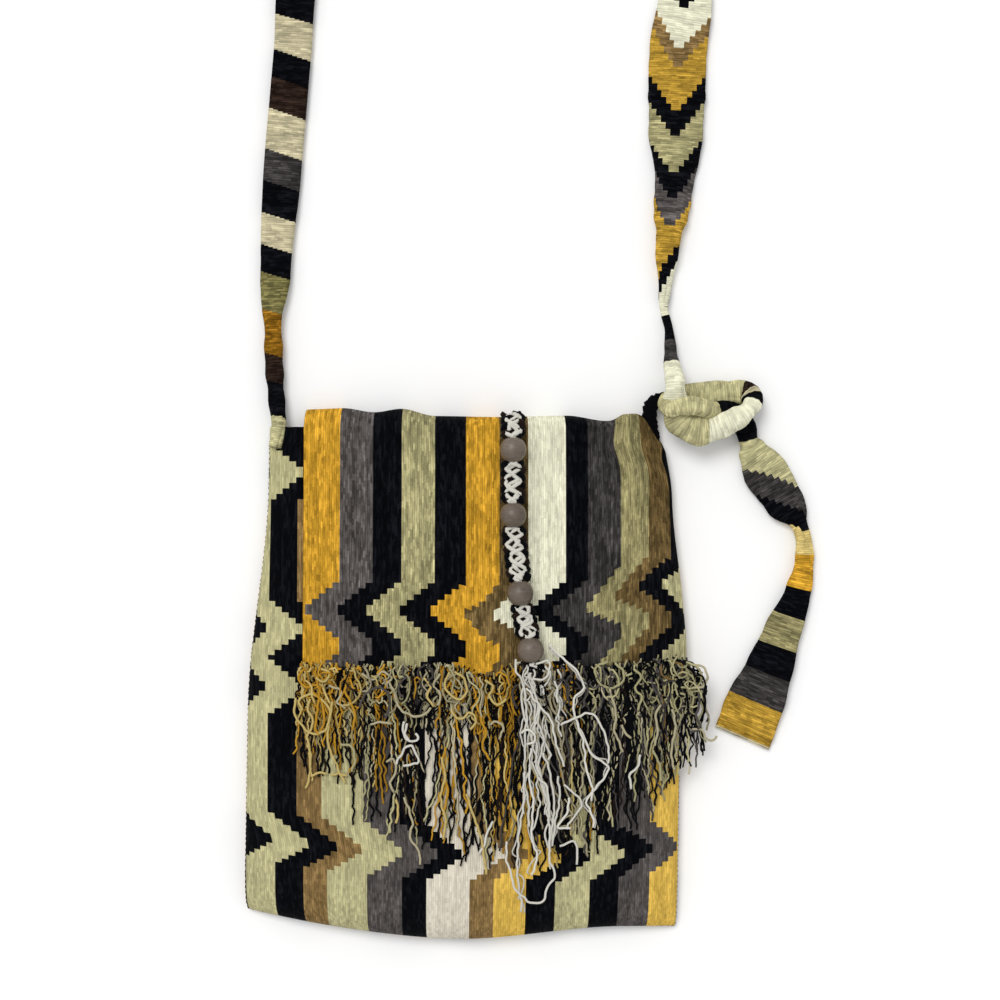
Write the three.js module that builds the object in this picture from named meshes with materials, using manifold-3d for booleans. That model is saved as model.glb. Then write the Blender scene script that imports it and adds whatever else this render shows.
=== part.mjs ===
// A hand-woven shoulder bag with a folded flap, lying on its back as it is laid down.
// Millimetres. X runs across the bag, Y from its bottom towards the strap, Z up out of its front.
// The origin is the middle of the back, on the surface that the bag lies on.
import * as THREE from "three";
import { mergeVertices } from "three/addons/utils/BufferGeometryUtils.js";
import Module from "manifold-3d";

const wasm = await Module();
wasm.setup();

// Cloth and clearances
const CLOTH = 2.4; // thickness of the woven panels
const SEAT = 0.4; // clearance between pieces that lie on each other

// Pouch
const BAG_HEIGHT = 308; // top of the fold to the lowest point of the bottom edge
const TOP_WIDTH = 230;
const BOTTOM_WIDTH = 250;
const TOP_LEAN = 2.6; // the top lies this far to the right of the bottom
const BOTTOM_SAG = 11; // the bottom edge hangs this much lower in the middle than at its corners
const CORNER_ROUND = 7; // how far the two bottom corners are drawn in
const BELLY = 30; // height of the front over the surface that the bag lies on
const MOUTH_SHARE = 0.62; // the front's height at the mouth, as a share of the belly
const BOTTOM_ROUND = 46; // length over which the front comes down to the bottom edge
const SIDE_POWER = 0.7; // below 1 the front is flatter on top and steeper at its sides

// Flap
const FLAP_LENGTH = 151; // top of the fold to the hem
const FOLD_DEPTH = 10; // how far the fold stands out past the mouth
const MOUTH_DROP = 12; // the front's upper edge lies this far below the top of the fold
const RIDGE_HEIGHT = 5; // soft ridge in the flap beside its right upper corner
const RIDGE_IN = 17; // the ridge lies this far in from the flap's right side
const RIDGE_REACH = 52; // and dies away this far below the fold

// Shoulder strap, one woven band that ends in a knot and a tail
const STRAP_WIDTH = 34;
const STRAP_CLOTH = 2.6;
const STRAP_ARCH = 128; // height of the arch over the two straight runs
const STRAP_RUN = 262; // length of the straight runs, measured up from the mouth
const KNOT_WIDTH = 12.5; // the band drawn together, where it is knotted
const KNOT_THICK = 8;
const TAB_WIDTH = 7; // loop on the bag's corner that the strap is knotted to
const TAB_CLOTH = 2;

// Hanging ornament on the flap
const ORNAMENT_X = 28.3; // where the ornament hangs from the fold
const BRAID_WIDTH = 12.4;
const BRAID_THICK = 4;
const BEAD_WIDTH = 15.2;
const BEAD_HEIGHT = 11.6;
const BEAD_BORE = 4.8;
const BRAID_IN_BEAD = (BEAD_BORE - 0.5) / Math.SQRT2; // the braid drawn through a bead
const TASSEL_STRANDS = 7;
const TASSEL_STRAND = 2.2; // diameter of the ornament's long yarns
const TASSEL_LENGTH = 138;
const TASSEL_HEAD = 9; // diameter of the knot that the yarns hang from

// Fringe of the flap
const FRINGE_BUNCHES = 12;
const FRINGE_STRANDS = 4; // strands in one bunch
const FRINGE_SHORT = 48; // length of the strands at the flap's sides
const FRINGE_LONG = 118; // and in its middle
const FRINGE_STRAND = 2; // diameter of one strand
const FRINGE_KNOT = 5; // diameter of the knot that heads a bunch
const SEAM_THREAD = 1.4; // diameter of the thread that joins front and back

// Mesh fineness
const ACROSS = 26; // divisions of the front from side to side
const FLAP_FIRST = 5; // division at which the flap's left edge lies
const FLAP_LAST = 25; // division at which the flap's right edge lies
const ROWS_BOTTOM = 4;
const ROWS_LOWER = 4; // rows from the rounded bottom up to the hem of the flap
const ROWS_UPPER = 6; // rows from the hem of the flap up to the mouth
const ROWS_FOLD = 6;
const ROWS_BACK = 4;

const TOP_Y = BAG_HEIGHT / 2;
const BOTTOM_Y = -BAG_HEIGHT / 2;
const FOLD_Y = TOP_Y - FOLD_DEPTH;
const MOUTH_Y = TOP_Y - MOUTH_DROP;
const HEM_Y = TOP_Y - FLAP_LENGTH;
const ROUND_Y = BOTTOM_Y + CLOTH + BOTTOM_ROUND;
const SEAM_Z = CLOTH + SEAT; // underside of the front panel's edge
const FRONT_RISE = BELLY - CLOTH - SEAM_Z; // height of the space inside
const HEM_ROW = ROWS_BOTTOM + ROWS_LOWER;
const MOUTH_ROW = HEM_ROW + ROWS_UPPER;
const FLAP_UNDER = CLOTH + SEAT; // offset of the flap's underside from the front's inner face
const FLAP_OUTER = FLAP_UNDER + CLOTH;

const { lerp, smoothstep, clamp, degToRad } = THREE.MathUtils;

// Solids

function solidOf(geometry) {
  const bare = geometry.index ? geometry.clone() : mergeVertices(geometry);
  bare.deleteAttribute("normal");
  bare.deleteAttribute("uv");
  const merged = mergeVertices(bare, 1e-4);
  return new wasm.Manifold(
    new wasm.Mesh({
      numProp: 3,
      vertProperties: new Float32Array(merged.attributes.position.array),
      triVerts: new Uint32Array(merged.index.array),
    }),
  );
}

function geometryOf(solid) {
  const mesh = solid.getMesh();
  const geometry = new THREE.BufferGeometry();
  geometry.setAttribute("position", new THREE.BufferAttribute(mesh.vertProperties, 3));
  geometry.setIndex(new THREE.BufferAttribute(mesh.triVerts, 1));
  geometry.computeVertexNormals();
  return geometry;
}

function joined(geometries) {
  return geometryOf(geometries.map(solidOf).reduce((whole, piece) => whole.add(piece)));
}

// A flat slab bent into place: place(u, v, w) gives the point for u across, v along and w through it.
function bentSlab(across, along, place) {
  const geometry = new THREE.BoxGeometry(1, 1, 1, across, along, 1);
  const position = geometry.attributes.position;
  for (let i = 0; i < position.count; i++) {
    const point = place(position.getX(i) + 0.5, position.getY(i) + 0.5, position.getZ(i) + 0.5);
    position.setXYZ(i, point.x, point.y, point.z);
  }
  geometry.deleteAttribute("normal");
  geometry.deleteAttribute("uv");
  const merged = mergeVertices(geometry, 1e-4);
  merged.computeVertexNormals();
  return merged;
}

// A tube of oval section along a curve.
function tube(curve, width, thick, steps, sides = 6) {
  const section = new THREE.Shape(
    Array.from({ length: sides }, (_, i) => {
      const turn = (2 * Math.PI * i) / sides;
      return new THREE.Vector2((thick / 2) * Math.cos(turn), (width / 2) * Math.sin(turn));
    }),
  );
  return new THREE.ExtrudeGeometry(section, { steps, extrudePath: curve, curveSegments: 1 });
}

// A band drawn together to an oval along a curve: its width stays level, as a strap's does.
function ovalBand(curve, width, thick, steps, sides) {
  const geometry = new THREE.CylinderGeometry(1, 1, 1, sides, steps);
  const position = geometry.attributes.position;
  for (let i = 0; i < position.count; i++) {
    const v = position.getY(i) + 0.5;
    const along = curve.getTangent(v);
    const across = new THREE.Vector3(along.y, -along.x, 0).normalize();
    const through = new THREE.Vector3().crossVectors(across, along);
    const point = curve.getPoint(v);
    point.addScaledVector(across, (position.getX(i) * width) / 2);
    point.addScaledVector(through, (position.getZ(i) * thick) / 2);
    position.setXYZ(i, point.x, point.y, point.z);
  }
  return geometry;
}

const at = (x, y, z) => new THREE.Vector3(x, y, z);
const through = (points) => new THREE.CatmullRomCurve3(points, false, "centripetal");
const straight = (points) => new THREE.CatmullRomCurve3(points, false, "catmullrom", 0);

// Shape of the pouch

function halfWidth(y) {
  const up = smoothstep((y - BOTTOM_Y) / BAG_HEIGHT, 0.35, 0.85);
  return lerp(BOTTOM_WIDTH, TOP_WIDTH, up) / 2;
}

function middleX(y) {
  return TOP_LEAN * clamp((y - BOTTOM_Y) / BAG_HEIGHT, 0, 1);
}

function mouthTaper(y) {
  return lerp(1, MOUTH_SHARE, smoothstep(y, HEM_Y, MOUTH_Y));
}

// A row of the front, counted up from the bottom edge.
function frontRow(row) {
  if (row < ROWS_BOTTOM) return { turn: (row / ROWS_BOTTOM) * (Math.PI / 2), y: ROUND_Y };
  if (row < HEM_ROW) return { turn: Math.PI / 2, y: lerp(ROUND_Y, HEM_Y, (row - ROWS_BOTTOM) / ROWS_LOWER) };
  return { turn: Math.PI / 2, y: lerp(HEM_Y, MOUTH_Y, (row - HEM_ROW) / ROWS_UPPER) };
}

// A point of the front, at an angle from its middle line, on a row, offset out of its inner face.
function frontPoint(angle, row, offset) {
  const { turn, y } = frontRow(row);
  const side = Math.sin(angle);
  const drawnIn = CORNER_ROUND * (1 - Math.sin(turn)) ** 2;
  const rowY = y - (BOTTOM_ROUND + offset) * Math.cos(turn);
  const sag = BOTTOM_SAG * side ** 2 * (1 - (rowY - BOTTOM_Y) / BAG_HEIGHT) ** 3;
  const rise = Math.max(Math.cos(angle), 0) ** SIDE_POWER * Math.sin(turn) ** SIDE_POWER;
  return at(
    middleX(rowY) + (halfWidth(rowY) - CLOTH - drawnIn + offset) * side,
    rowY + sag,
    SEAM_Z + (FRONT_RISE * mouthTaper(rowY) + offset) * rise,
  );
}

// Height of the front over a place on the plan, offset out of its inner face.
function frontHeight(x, y, offset) {
  const side = clamp((x - middleX(y)) / (halfWidth(y) - CLOTH + offset), -1, 1);
  const down = clamp((ROUND_Y - y) / (BOTTOM_ROUND + offset), 0, 1);
  const rise = (Math.sqrt(1 - side ** 2) * Math.sqrt(1 - down ** 2)) ** SIDE_POWER;
  return SEAM_Z + (FRONT_RISE * mouthTaper(y) + offset) * rise;
}

// The flap's soft ridge: how far it lifts off the front at a place.
function ridge(x, y) {
  const away = (x - middleX(y) - halfWidth(y) + RIDGE_IN) / (RIDGE_IN / 2);
  return RIDGE_HEIGHT * Math.exp(-(away ** 2)) * smoothstep(y, TOP_Y - RIDGE_REACH, FOLD_Y);
}

function flapPoint(angle, row, offset) {
  const point = frontPoint(angle, row, offset);
  const outer = frontPoint(angle, row, FLAP_OUTER);
  point.z += ridge(outer.x, outer.y);
  return point;
}

const angleAt = (division) => lerp(-Math.PI / 2, Math.PI / 2, division / ACROSS);
const FLAP_LEFT = angleAt(FLAP_FIRST);
const FLAP_RIGHT = angleAt(FLAP_LAST);

function frontPanel() {
  return bentSlab(ACROSS, MOUTH_ROW, (u, v, w) =>
    frontPoint(angleAt(u * ACROSS), v * MOUTH_ROW, w * CLOTH),
  );
}

// The back and the flap are one cloth: up the back, over the fold and down the front to the hem.
function backPanelWithFlap() {
  const columns = FLAP_LAST - FLAP_FIRST;
  const backRows = ROWS_BOTTOM + ROWS_BACK;
  const rows = backRows + ROWS_FOLD + ROWS_UPPER;
  const gather = degToRad(22); // the fold dies away over this angle at its right end
  const endDepth = 0.12; // share of the fold's depth that is left there

  // The back's side edges run in to the narrower flap near the fold.
  function backPoint(u, row, z) {
    const upper = clamp((row - ROWS_BOTTOM) / ROWS_BACK, 0, 1);
    const runIn = smoothstep(upper, 0.7, 1);
    const angle = lerp(lerp(-Math.PI / 2, FLAP_LEFT, runIn), lerp(Math.PI / 2, FLAP_RIGHT, runIn), u);
    const point = frontPoint(angle, Math.min(row, ROWS_BOTTOM), CLOTH);
    if (row <= ROWS_BOTTOM) return at(point.x, point.y, z);
    const y = lerp(ROUND_Y, FOLD_Y, upper);
    return at(middleX(y) + halfWidth(y) * Math.sin(angle), y, z);
  }

  return bentSlab(columns, rows, (u, v, w) => {
    const row = v * rows;
    if (row <= backRows) return backPoint(u, row, w * CLOTH);
    const angle = lerp(FLAP_LEFT, FLAP_RIGHT, u);
    const over = row - backRows;
    const inset = w * CLOTH;
    if (over > ROWS_FOLD - 1e-6) {
      return flapPoint(angle, MOUTH_ROW - (over - ROWS_FOLD), FLAP_OUTER - inset);
    }
    const turn = (over / ROWS_FOLD) * Math.PI;
    const ending = smoothstep(angle, FLAP_RIGHT - gather, FLAP_RIGHT);
    const depth = FOLD_DEPTH * lerp(1, endDepth, ending);
    const top = flapPoint(angle, MOUTH_ROW, FLAP_OUTER);
    const below = backPoint(u, backRows, 0);
    const reach = Math.max(depth - inset, depth * 0.3);
    const start = lerp(below.y, top.y, over / ROWS_FOLD);
    return at(
      lerp(below.x, top.x, over / ROWS_FOLD),
      start + reach * Math.sin(turn),
      lerp(inset, top.z - inset, (1 - Math.cos(turn)) / 2),
    );
  });
}

// The thread that joins the front's edge to the back, down one side, along the bottom and up the other.
function seamThread() {
  const offset = CLOTH + 2 * SEAT + SEAM_THREAD / 2;
  const z = SEAM_Z + SEAM_THREAD / 2 - SEAT / 2;
  const down = (angle, row) => {
    const point = frontPoint(angle, row, offset);
    return at(point.x, point.y, z);
  };
  const rows = [...Array(MOUTH_ROW + 1).keys()];
  const points = [
    ...rows.toReversed().map((row) => down(-Math.PI / 2, row)),
    ...[...Array(ACROSS - 1).keys()].map((i) => down(angleAt(i + 1), 0)),
    ...rows.map((row) => down(Math.PI / 2, row)),
  ];
  return tube(through(points), SEAM_THREAD, SEAM_THREAD, 84, 5);
}

// Strap

const LEFT = at(middleX(MOUTH_Y) - TOP_WIDTH / 2, MOUTH_Y, 0); // the mouth's two corners
const RIGHT = at(middleX(MOUTH_Y) + TOP_WIDTH / 2, MOUTH_Y, 0);

// A flat band along a route of [point on its underside, width, thickness].
function band(route, steps, line = through) {
  const curve = line(route.map(([point]) => point));
  const size = (v, part) => {
    const place = v * (route.length - 1);
    const first = Math.min(Math.floor(place), route.length - 2);
    return lerp(route[first][part], route[first + 1][part], place - first);
  };
  return bentSlab(1, steps, (u, v, w) => {
    const along = curve.getTangent(v);
    const across = at(along.y, -along.x, 0).normalize();
    const point = curve.getPoint(v).addScaledVector(across, (u - 0.5) * size(v, 1));
    point.z += w * size(v, 2);
    return point;
  });
}

// Places beside the mouth's left corner: [across, along, height, width, thickness].
const LEFT_RUN = [
  [12, -17, SEAM_Z, 10.5, STRAP_CLOTH],
  [11, 1, SEAM_Z, 11.5, STRAP_CLOTH],
  [5.5, 16, SEAM_Z, 13.5, 2 * STRAP_CLOTH],
  [4.3, 44, 0, 15, 2 * STRAP_CLOTH],
  [5.6, 90, 0, 19, 2 * STRAP_CLOTH],
  [10, 150, 0, 23.5, 2 * STRAP_CLOTH],
  [15, 220, 0, 24, 2 * STRAP_CLOTH],
  [18, STRAP_RUN, 0, 27, 1.6 * STRAP_CLOTH],
];

// Places beside the mouth's right corner, from the arch down to the knot.
const RIGHT_RUN = [
  [12, STRAP_RUN, 0, 29, STRAP_CLOTH],
  [8, 220, 0, 32.5, STRAP_CLOTH],
  [6, 175, 0, 31, STRAP_CLOTH],
  [4, 138, 0, 19, 1.8 * STRAP_CLOTH],
  [1.6, 104, 0, 9, 3 * STRAP_CLOTH],
  [3, 74, 0.6, 8.5, 3.2 * STRAP_CLOTH],
  [4.2, 52, 2.4, 10, 3.2 * STRAP_CLOTH],
];

const beside = (corner) => ([across, along, z, width, thick]) => [
  at(corner.x + across, corner.y + along, z),
  width,
  thick,
];

// Half an ellipse from the left run over to the right run.
function archRoute(from, to) {
  const middle = at((from.x + to.x) / 2, (from.y + to.y) / 2, 0);
  return [0.17, 0.33, 0.5, 0.67, 0.83].map((part) => {
    const turn = Math.PI * (1 - part);
    const x = middle.x + ((to.x - from.x) / 2) * Math.cos(turn);
    return [at(x, middle.y + STRAP_ARCH * Math.sin(turn), 0), STRAP_WIDTH, STRAP_CLOTH];
  });
}

// The overhand knot, layer by layer: the band lies on the surface, on the loop, on itself.
const LAYER = KNOT_THICK + SEAT;
const LOW = TAB_CLOTH + 2 * SEAT + KNOT_THICK / 2;
const MIDDLE = LOW + LAYER + TAB_CLOTH + 2 * SEAT;
const HIGH = MIDDLE + LAYER;
const RING_ACROSS = 16.5; // where the loop's ring lies round the band, beside the mouth's right corner
const RING_ALONG = 22;
const STANDING = [
  [4.2, 51, 6.6],
  [4.4, 42, 11],
  [6.5, 28, MIDDLE],
  [9, 14, MIDDLE],
  [13, 3, MIDDLE],
  [21, -3, MIDDLE],
  [31, 1.5, MIDDLE],
  [43, 9, MIDDLE],
];
const RETURNING = [
  [43, 9, MIDDLE],
  [54, 15, MIDDLE - 2],
  [57.5, 22, (MIDDLE + LOW) / 2],
  [51, 25.5, LOW + 1],
  [40, 24.5, LOW],
  [26, 23, LOW],
  [12, 21.5, LOW],
];
const TURNING = [
  [12, 21.5, LOW],
  [4, 18.5, LOW + 2],
  [-0.5, 15.5, MIDDLE],
  [2.5, 14, HIGH - 1],
  [10, 14, HIGH],
  [19, 13, HIGH - 3],
];
const TUCKED = [
  [19, 13, HIGH - 3],
  [26, 9.5, MIDDLE - 2],
  [32, 4.5, LOW],
  [40, -2, LOW - 1.5],
  [47, -8, 4],
];

// Places beside the mouth's right corner, from the knot to the end of the band.
const TAIL = [
  [46, -7, 0, 14, 3 * STRAP_CLOTH],
  [52, -14, 0, 18, 2 * STRAP_CLOTH],
  [61, -25, 0, 19, 2 * STRAP_CLOTH],
  [72, -44, 0, 17, 2 * STRAP_CLOTH],
  [80, -62, 0, 9, 2.6 * STRAP_CLOTH],
  [79, -78, 0, 12, 2 * STRAP_CLOTH],
  [74, -98, 0, 17, 1.6 * STRAP_CLOTH],
  [66, -120, 0, 21, 1.3 * STRAP_CLOTH],
  [57, -142, 0, 27, STRAP_CLOTH],
  [49.5, -160, 0, 32, STRAP_CLOTH],
  [41, -182, 0, STRAP_WIDTH, STRAP_CLOTH],
];

function knotPass(route) {
  const points = route.map(([across, along, z]) => at(RIGHT.x + across, RIGHT.y + along, z));
  return ovalBand(through(points), KNOT_WIDTH, KNOT_THICK, 2 * points.length, 8);
}

function strap() {
  const left = LEFT_RUN.map(beside(LEFT));
  const right = RIGHT_RUN.map(beside(RIGHT));
  const loop = [...left, ...archRoute(left.at(-1)[0], right[0][0]), ...right];
  return joined([
    band(loop, 60),
    ...[STANDING, RETURNING, TURNING, TUCKED].map(knotPass),
    band(TAIL.map(beside(RIGHT)), 24),
  ]);
}

// The loop on the bag's corner: a strip sewn along the side seam, and a ring round the knot's lowest pass.
function cornerTab() {
  const beside = 2 * SEAT + SEAM_THREAD + SEAT + TAB_WIDTH / 2;
  const strip = [
    [beside, -16, SEAT],
    [beside, -6, SEAT],
    [beside + 1, 4, SEAT],
    [12, 15, SEAT],
    [RING_ACROSS, RING_ALONG, SEAT],
  ].map(([across, along, z]) => [at(RIGHT.x + across, RIGHT.y + along, z), TAB_WIDTH, TAB_CLOTH]);
  const innerAlong = KNOT_WIDTH / 2 + 2 * SEAT;
  const innerUp = KNOT_THICK / 2 + SEAT;
  const outline = new THREE.Shape();
  outline.absellipse(0, 0, innerUp + TAB_CLOTH, innerAlong + TAB_CLOTH, 0, 2 * Math.PI);
  const opening = new THREE.Path();
  opening.absellipse(0, 0, innerUp, innerAlong, 0, 2 * Math.PI);
  outline.holes.push(opening);
  const ring = new THREE.ExtrudeGeometry(outline, { depth: TAB_WIDTH, bevelEnabled: false, curveSegments: 10 });
  ring.rotateY(Math.PI / 2);
  ring.translate(RIGHT.x + RING_ACROSS - TAB_WIDTH / 2, RIGHT.y + RING_ALONG, LOW);
  return joined([band(strip, 14), ring]);
}

// Ornament

const flapTop = (x, y) => frontHeight(x, y, FLAP_OUTER) + ridge(x, y);
const frontTop = (x, y) => frontHeight(x, y, CLOTH);

// The beads' places: to the right of where the ornament hangs, and below the top of the fold.
const BEADS = [
  [0, 25.6],
  [0, 63.1],
  [4, 107.6],
  [9.8, 139.9],
].map(([across, down]) => {
  const x = ORNAMENT_X + across;
  const y = TOP_Y - down;
  return at(x, y, flapTop(x, y) + SEAT + BEAD_WIDTH / 2);
});

// A round bead with a rounded rim and a bore, strung along Y.
function bead(place) {
  const half = BEAD_HEIGHT / 2;
  const outside = Array.from({ length: 7 }, (_, i) => {
    const turn = lerp(-0.42, 0.42, i / 6) * Math.PI;
    const reach = (BEAD_WIDTH / 2) * Math.cos(turn) ** 0.55;
    return new THREE.Vector2(reach, (half * Math.sin(turn)) / Math.sin(0.42 * Math.PI));
  });
  const bore = [new THREE.Vector2(BEAD_BORE / 2, half), new THREE.Vector2(BEAD_BORE / 2, -half)];
  const profile = [...outside, ...bore, outside[0]];
  return new THREE.LatheGeometry(profile, 14).translate(place.x, place.y, place.z);
}

// The flat braid lies on the flap between the beads and is drawn thin through each of them.
function ornamentBraid() {
  const flat = (x, y) => [at(x, y, flapTop(x, y) + 1.5 * SEAT), BRAID_WIDTH, BRAID_THICK];
  const thin = (place, y) => [
    at(place.x, y, place.z - BRAID_IN_BEAD / 2),
    BRAID_IN_BEAD,
    BRAID_IN_BEAD,
  ];
  const rise = BEAD_HEIGHT / 2 + 1;
  const approach = BEAD_HEIGHT / 2 + 9;
  const route = [flat(ORNAMENT_X, TOP_Y - FOLD_DEPTH / 3)];
  BEADS.forEach((place, i) => {
    const next = BEADS[i + 1];
    const before = BEADS[i - 1] ?? at(ORNAMENT_X, FOLD_Y, 0);
    route.push(flat(lerp(place.x, before.x, 0.3), place.y + approach));
    route.push(thin(place, place.y + rise));
    route.push(thin(place, next ? place.y - rise : place.y - BEAD_HEIGHT / 2));
    if (next) route.push(flat(lerp(place.x, next.x, 0.3), place.y - approach));
  });
  return band(route, 3 * (route.length - 1), straight);
}

// Long yarns from a knot under the last bead, fanned out over the fringe.
function ornamentTassel() {
  const last = BEADS.at(-1);
  const top = last.y - BEAD_HEIGHT / 2 - SEAT;
  const head = at(last.x, top - TASSEL_HEAD / 2, last.z);
  const overFringe = SEAT + FRINGE_STRAND + SEAT;
  const overKnots = SEAT + FRINGE_KNOT + 2 * SEAT;
  const yarns = Array.from({ length: TASSEL_STRANDS }, (_, i) => {
    const side = (2 * i) / (TASSEL_STRANDS - 1) - 1;
    const length = TASSEL_LENGTH * (1 - 0.16 * side ** 2);
    const points = [head];
    for (const part of [0.08, 0.16, 0.3, 0.5, 0.75, 1]) {
      const x = head.x + 6 + 15 * side * Math.sin(0.8 * Math.PI * part) + 16 * part * (1 - part);
      const y = head.y - TASSEL_HEAD / 3 - part * length;
      const clear = lerp(overKnots, overFringe, smoothstep(part, 0.12, 0.3));
      points.push(at(x, y, frontTop(x, y) + clear + TASSEL_STRAND / 2 + 0.6));
    }
    return tube(through(points), TASSEL_STRAND, TASSEL_STRAND, 8, 5);
  });
  const knot = new THREE.SphereGeometry(TASSEL_HEAD / 2, 8, 6).translate(head.x, head.y, head.z);
  return joined([knot, ...yarns]);
}

// Fringe

// One knotted bunch of the fringe, hung from the hem.
function fringeBunch(index) {
  const share = (index + 0.5) / FRINGE_BUNCHES;
  const angle = lerp(FLAP_LEFT, FLAP_RIGHT - degToRad(8), share);
  const hem = frontPoint(angle, HEM_ROW, FLAP_UNDER);
  const knotY = hem.y - SEAT - FRINGE_KNOT / 2;
  const knot = at(hem.x, knotY, frontTop(hem.x, knotY) + SEAT + FRINGE_KNOT / 2);
  const room = Math.abs(
    frontPoint(angle + (FLAP_RIGHT - FLAP_LEFT) / FRINGE_BUNCHES, HEM_ROW, FLAP_UNDER).x - hem.x,
  );
  const reach = Math.min(room * 0.36, 7);
  const strands = Array.from({ length: FRINGE_STRANDS }, (_, i) => {
    const side = (2 * i) / (FRINGE_STRANDS - 1) - 1;
    const full = lerp(FRINGE_SHORT, FRINGE_LONG, Math.sin(Math.PI * share));
    const length = full * (0.78 + 0.22 * Math.cos(1.7 * i + 2.3 * index));
    const points = [knot];
    for (const part of [0.15, 0.35, 0.6, 1]) {
      const sway = 0.22 * Math.sin(6 * part + 1.9 * index + i);
      const x = knot.x + reach * (side * Math.min(1, 3 * part) * 0.78 + sway);
      const y = knot.y - part * length;
      points.push(at(x, y, frontTop(x, y) + 2 * SEAT + FRINGE_STRAND / 2));
    }
    return tube(through(points), FRINGE_STRAND, FRINGE_STRAND, 4, 5);
  });
  const ball = new THREE.SphereGeometry(FRINGE_KNOT / 2, 6, 4).translate(knot.x, knot.y, knot.z);
  return joined([ball, ...strands]);
}

const material = (color) => new THREE.MeshStandardMaterial({ color, roughness: 0.95, metalness: 0 });
const bag = new THREE.Group();

function add(name, geometry, color) {
  const mesh = new THREE.Mesh(geometry, material(color));
  mesh.name = name;
  bag.add(mesh);
}

const OCHRE = 0xc39930;
const SAGE = 0xa8a27a;
const BLACK = 0x14141a;
const BROWN = 0x7c6540;
const GREY = 0x565150;
const CREAM = 0xd4ceb8;

add("front_panel", frontPanel(), SAGE);
add("back_panel_with_flap", backPanelWithFlap(), OCHRE);
add("seam_thread", seamThread(), BLACK);
add("strap", strap(), CREAM);
add("corner_loop", cornerTab(), BLACK);
add("ornament_braid", ornamentBraid(), GREY);
BEADS.forEach((place, i) => add(`ornament_bead_${i + 1}`, bead(place), BROWN));
add("ornament_tassel", ornamentTassel(), CREAM);
const fringeColors = [OCHRE, OCHRE, SAGE, BLACK, BLACK, OCHRE, BROWN, BLACK, BLACK, SAGE, GREY, SAGE];
for (let i = 0; i < FRINGE_BUNCHES; i++) {
  add(`fringe_bunch_${i + 1}`, fringeBunch(i), fringeColors[i % fringeColors.length]);
}

export default bag;
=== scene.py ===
"""Dress a hand-woven shoulder bag: striped cloth, knotted strap, beaded ornament and fringe."""

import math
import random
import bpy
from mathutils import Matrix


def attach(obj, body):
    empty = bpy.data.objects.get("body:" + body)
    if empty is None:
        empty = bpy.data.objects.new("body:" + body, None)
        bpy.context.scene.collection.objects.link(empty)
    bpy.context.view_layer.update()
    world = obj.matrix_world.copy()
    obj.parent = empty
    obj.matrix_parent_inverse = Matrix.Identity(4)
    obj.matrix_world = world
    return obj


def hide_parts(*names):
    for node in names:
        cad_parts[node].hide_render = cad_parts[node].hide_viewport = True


bl_info = {
    "name": "Woven Shoulder Bag",
    "version": (1, 0, 0),
    "blender": (4, 5, 0),
    "location": "View3D > Sidebar > Bag",
    "description": "Builds the cloth, strap, ornament and fringe of a woven shoulder bag on its frame",
    "category": "Object",
}

import bmesh
import bpy
from bpy.props import FloatProperty, FloatVectorProperty, IntProperty, PointerProperty, StringProperty
from mathutils import Vector, noise

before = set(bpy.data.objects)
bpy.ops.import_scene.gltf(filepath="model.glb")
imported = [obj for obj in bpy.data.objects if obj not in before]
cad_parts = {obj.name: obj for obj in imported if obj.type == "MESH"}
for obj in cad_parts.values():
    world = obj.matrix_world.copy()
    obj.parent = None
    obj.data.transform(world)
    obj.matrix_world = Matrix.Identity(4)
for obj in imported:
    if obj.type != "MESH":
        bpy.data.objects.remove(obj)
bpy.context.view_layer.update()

# The pouch's own sizes in millimetres, as in the part's source
MM = 0.001
CLOTH = 2.4
SEAT = 0.4
BAG_HEIGHT = 308
TOP_WIDTH = 230
BOTTOM_WIDTH = 250
TOP_LEAN = 2.6
BOTTOM_LEAN = -2.3
LEFT_SAG = 17
RIGHT_SAG = 7.2
MIDDLE_SAG = 2.5
CORNER_ROUND = 3
BELLY = 30
MOUTH_SHARE = 0.62
BOTTOM_ROUND = 46
SIDE_POWER = 0.7
FLAP_LENGTH = 151
FOLD_DEPTH = 10
MOUTH_DROP = 12
FLAP_LEFT = math.radians(-90 + 5 * 180 / 26)
FLAP_RIGHT = math.radians(-90 + 25 * 180 / 26)

# The flap's ridge, which is fuller in the cloth than in the solid
RIDGE_HEIGHT = 10
RIDGE_REACH = 64
RIDGE_WIDTH = 9

TOP_Y = BAG_HEIGHT / 2
BOTTOM_Y = -BAG_HEIGHT / 2
FOLD_Y = TOP_Y - FOLD_DEPTH
MOUTH_Y = TOP_Y - MOUTH_DROP
HEM_Y = TOP_Y - FLAP_LENGTH
ROUND_Y = BOTTOM_Y + CLOTH + BOTTOM_ROUND
SEAM_Z = CLOTH + SEAT
FRONT_RISE = BELLY - CLOTH - SEAM_Z
FLAP_UNDER = CLOTH + SEAT
FLAP_OUTER = FLAP_UNDER + CLOTH

# The picture's frame: millimetres to a pixel, and the pixel that shows the origin
PIXEL = 0.577
PIXEL_X = 464
PIXEL_Y = 672.5


def on_plan(column, row):
    """A pixel of the picture as a place on the plan, in millimetres."""
    return (column - PIXEL_X) * PIXEL, (PIXEL_Y - row) * PIXEL


# Settings


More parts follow.
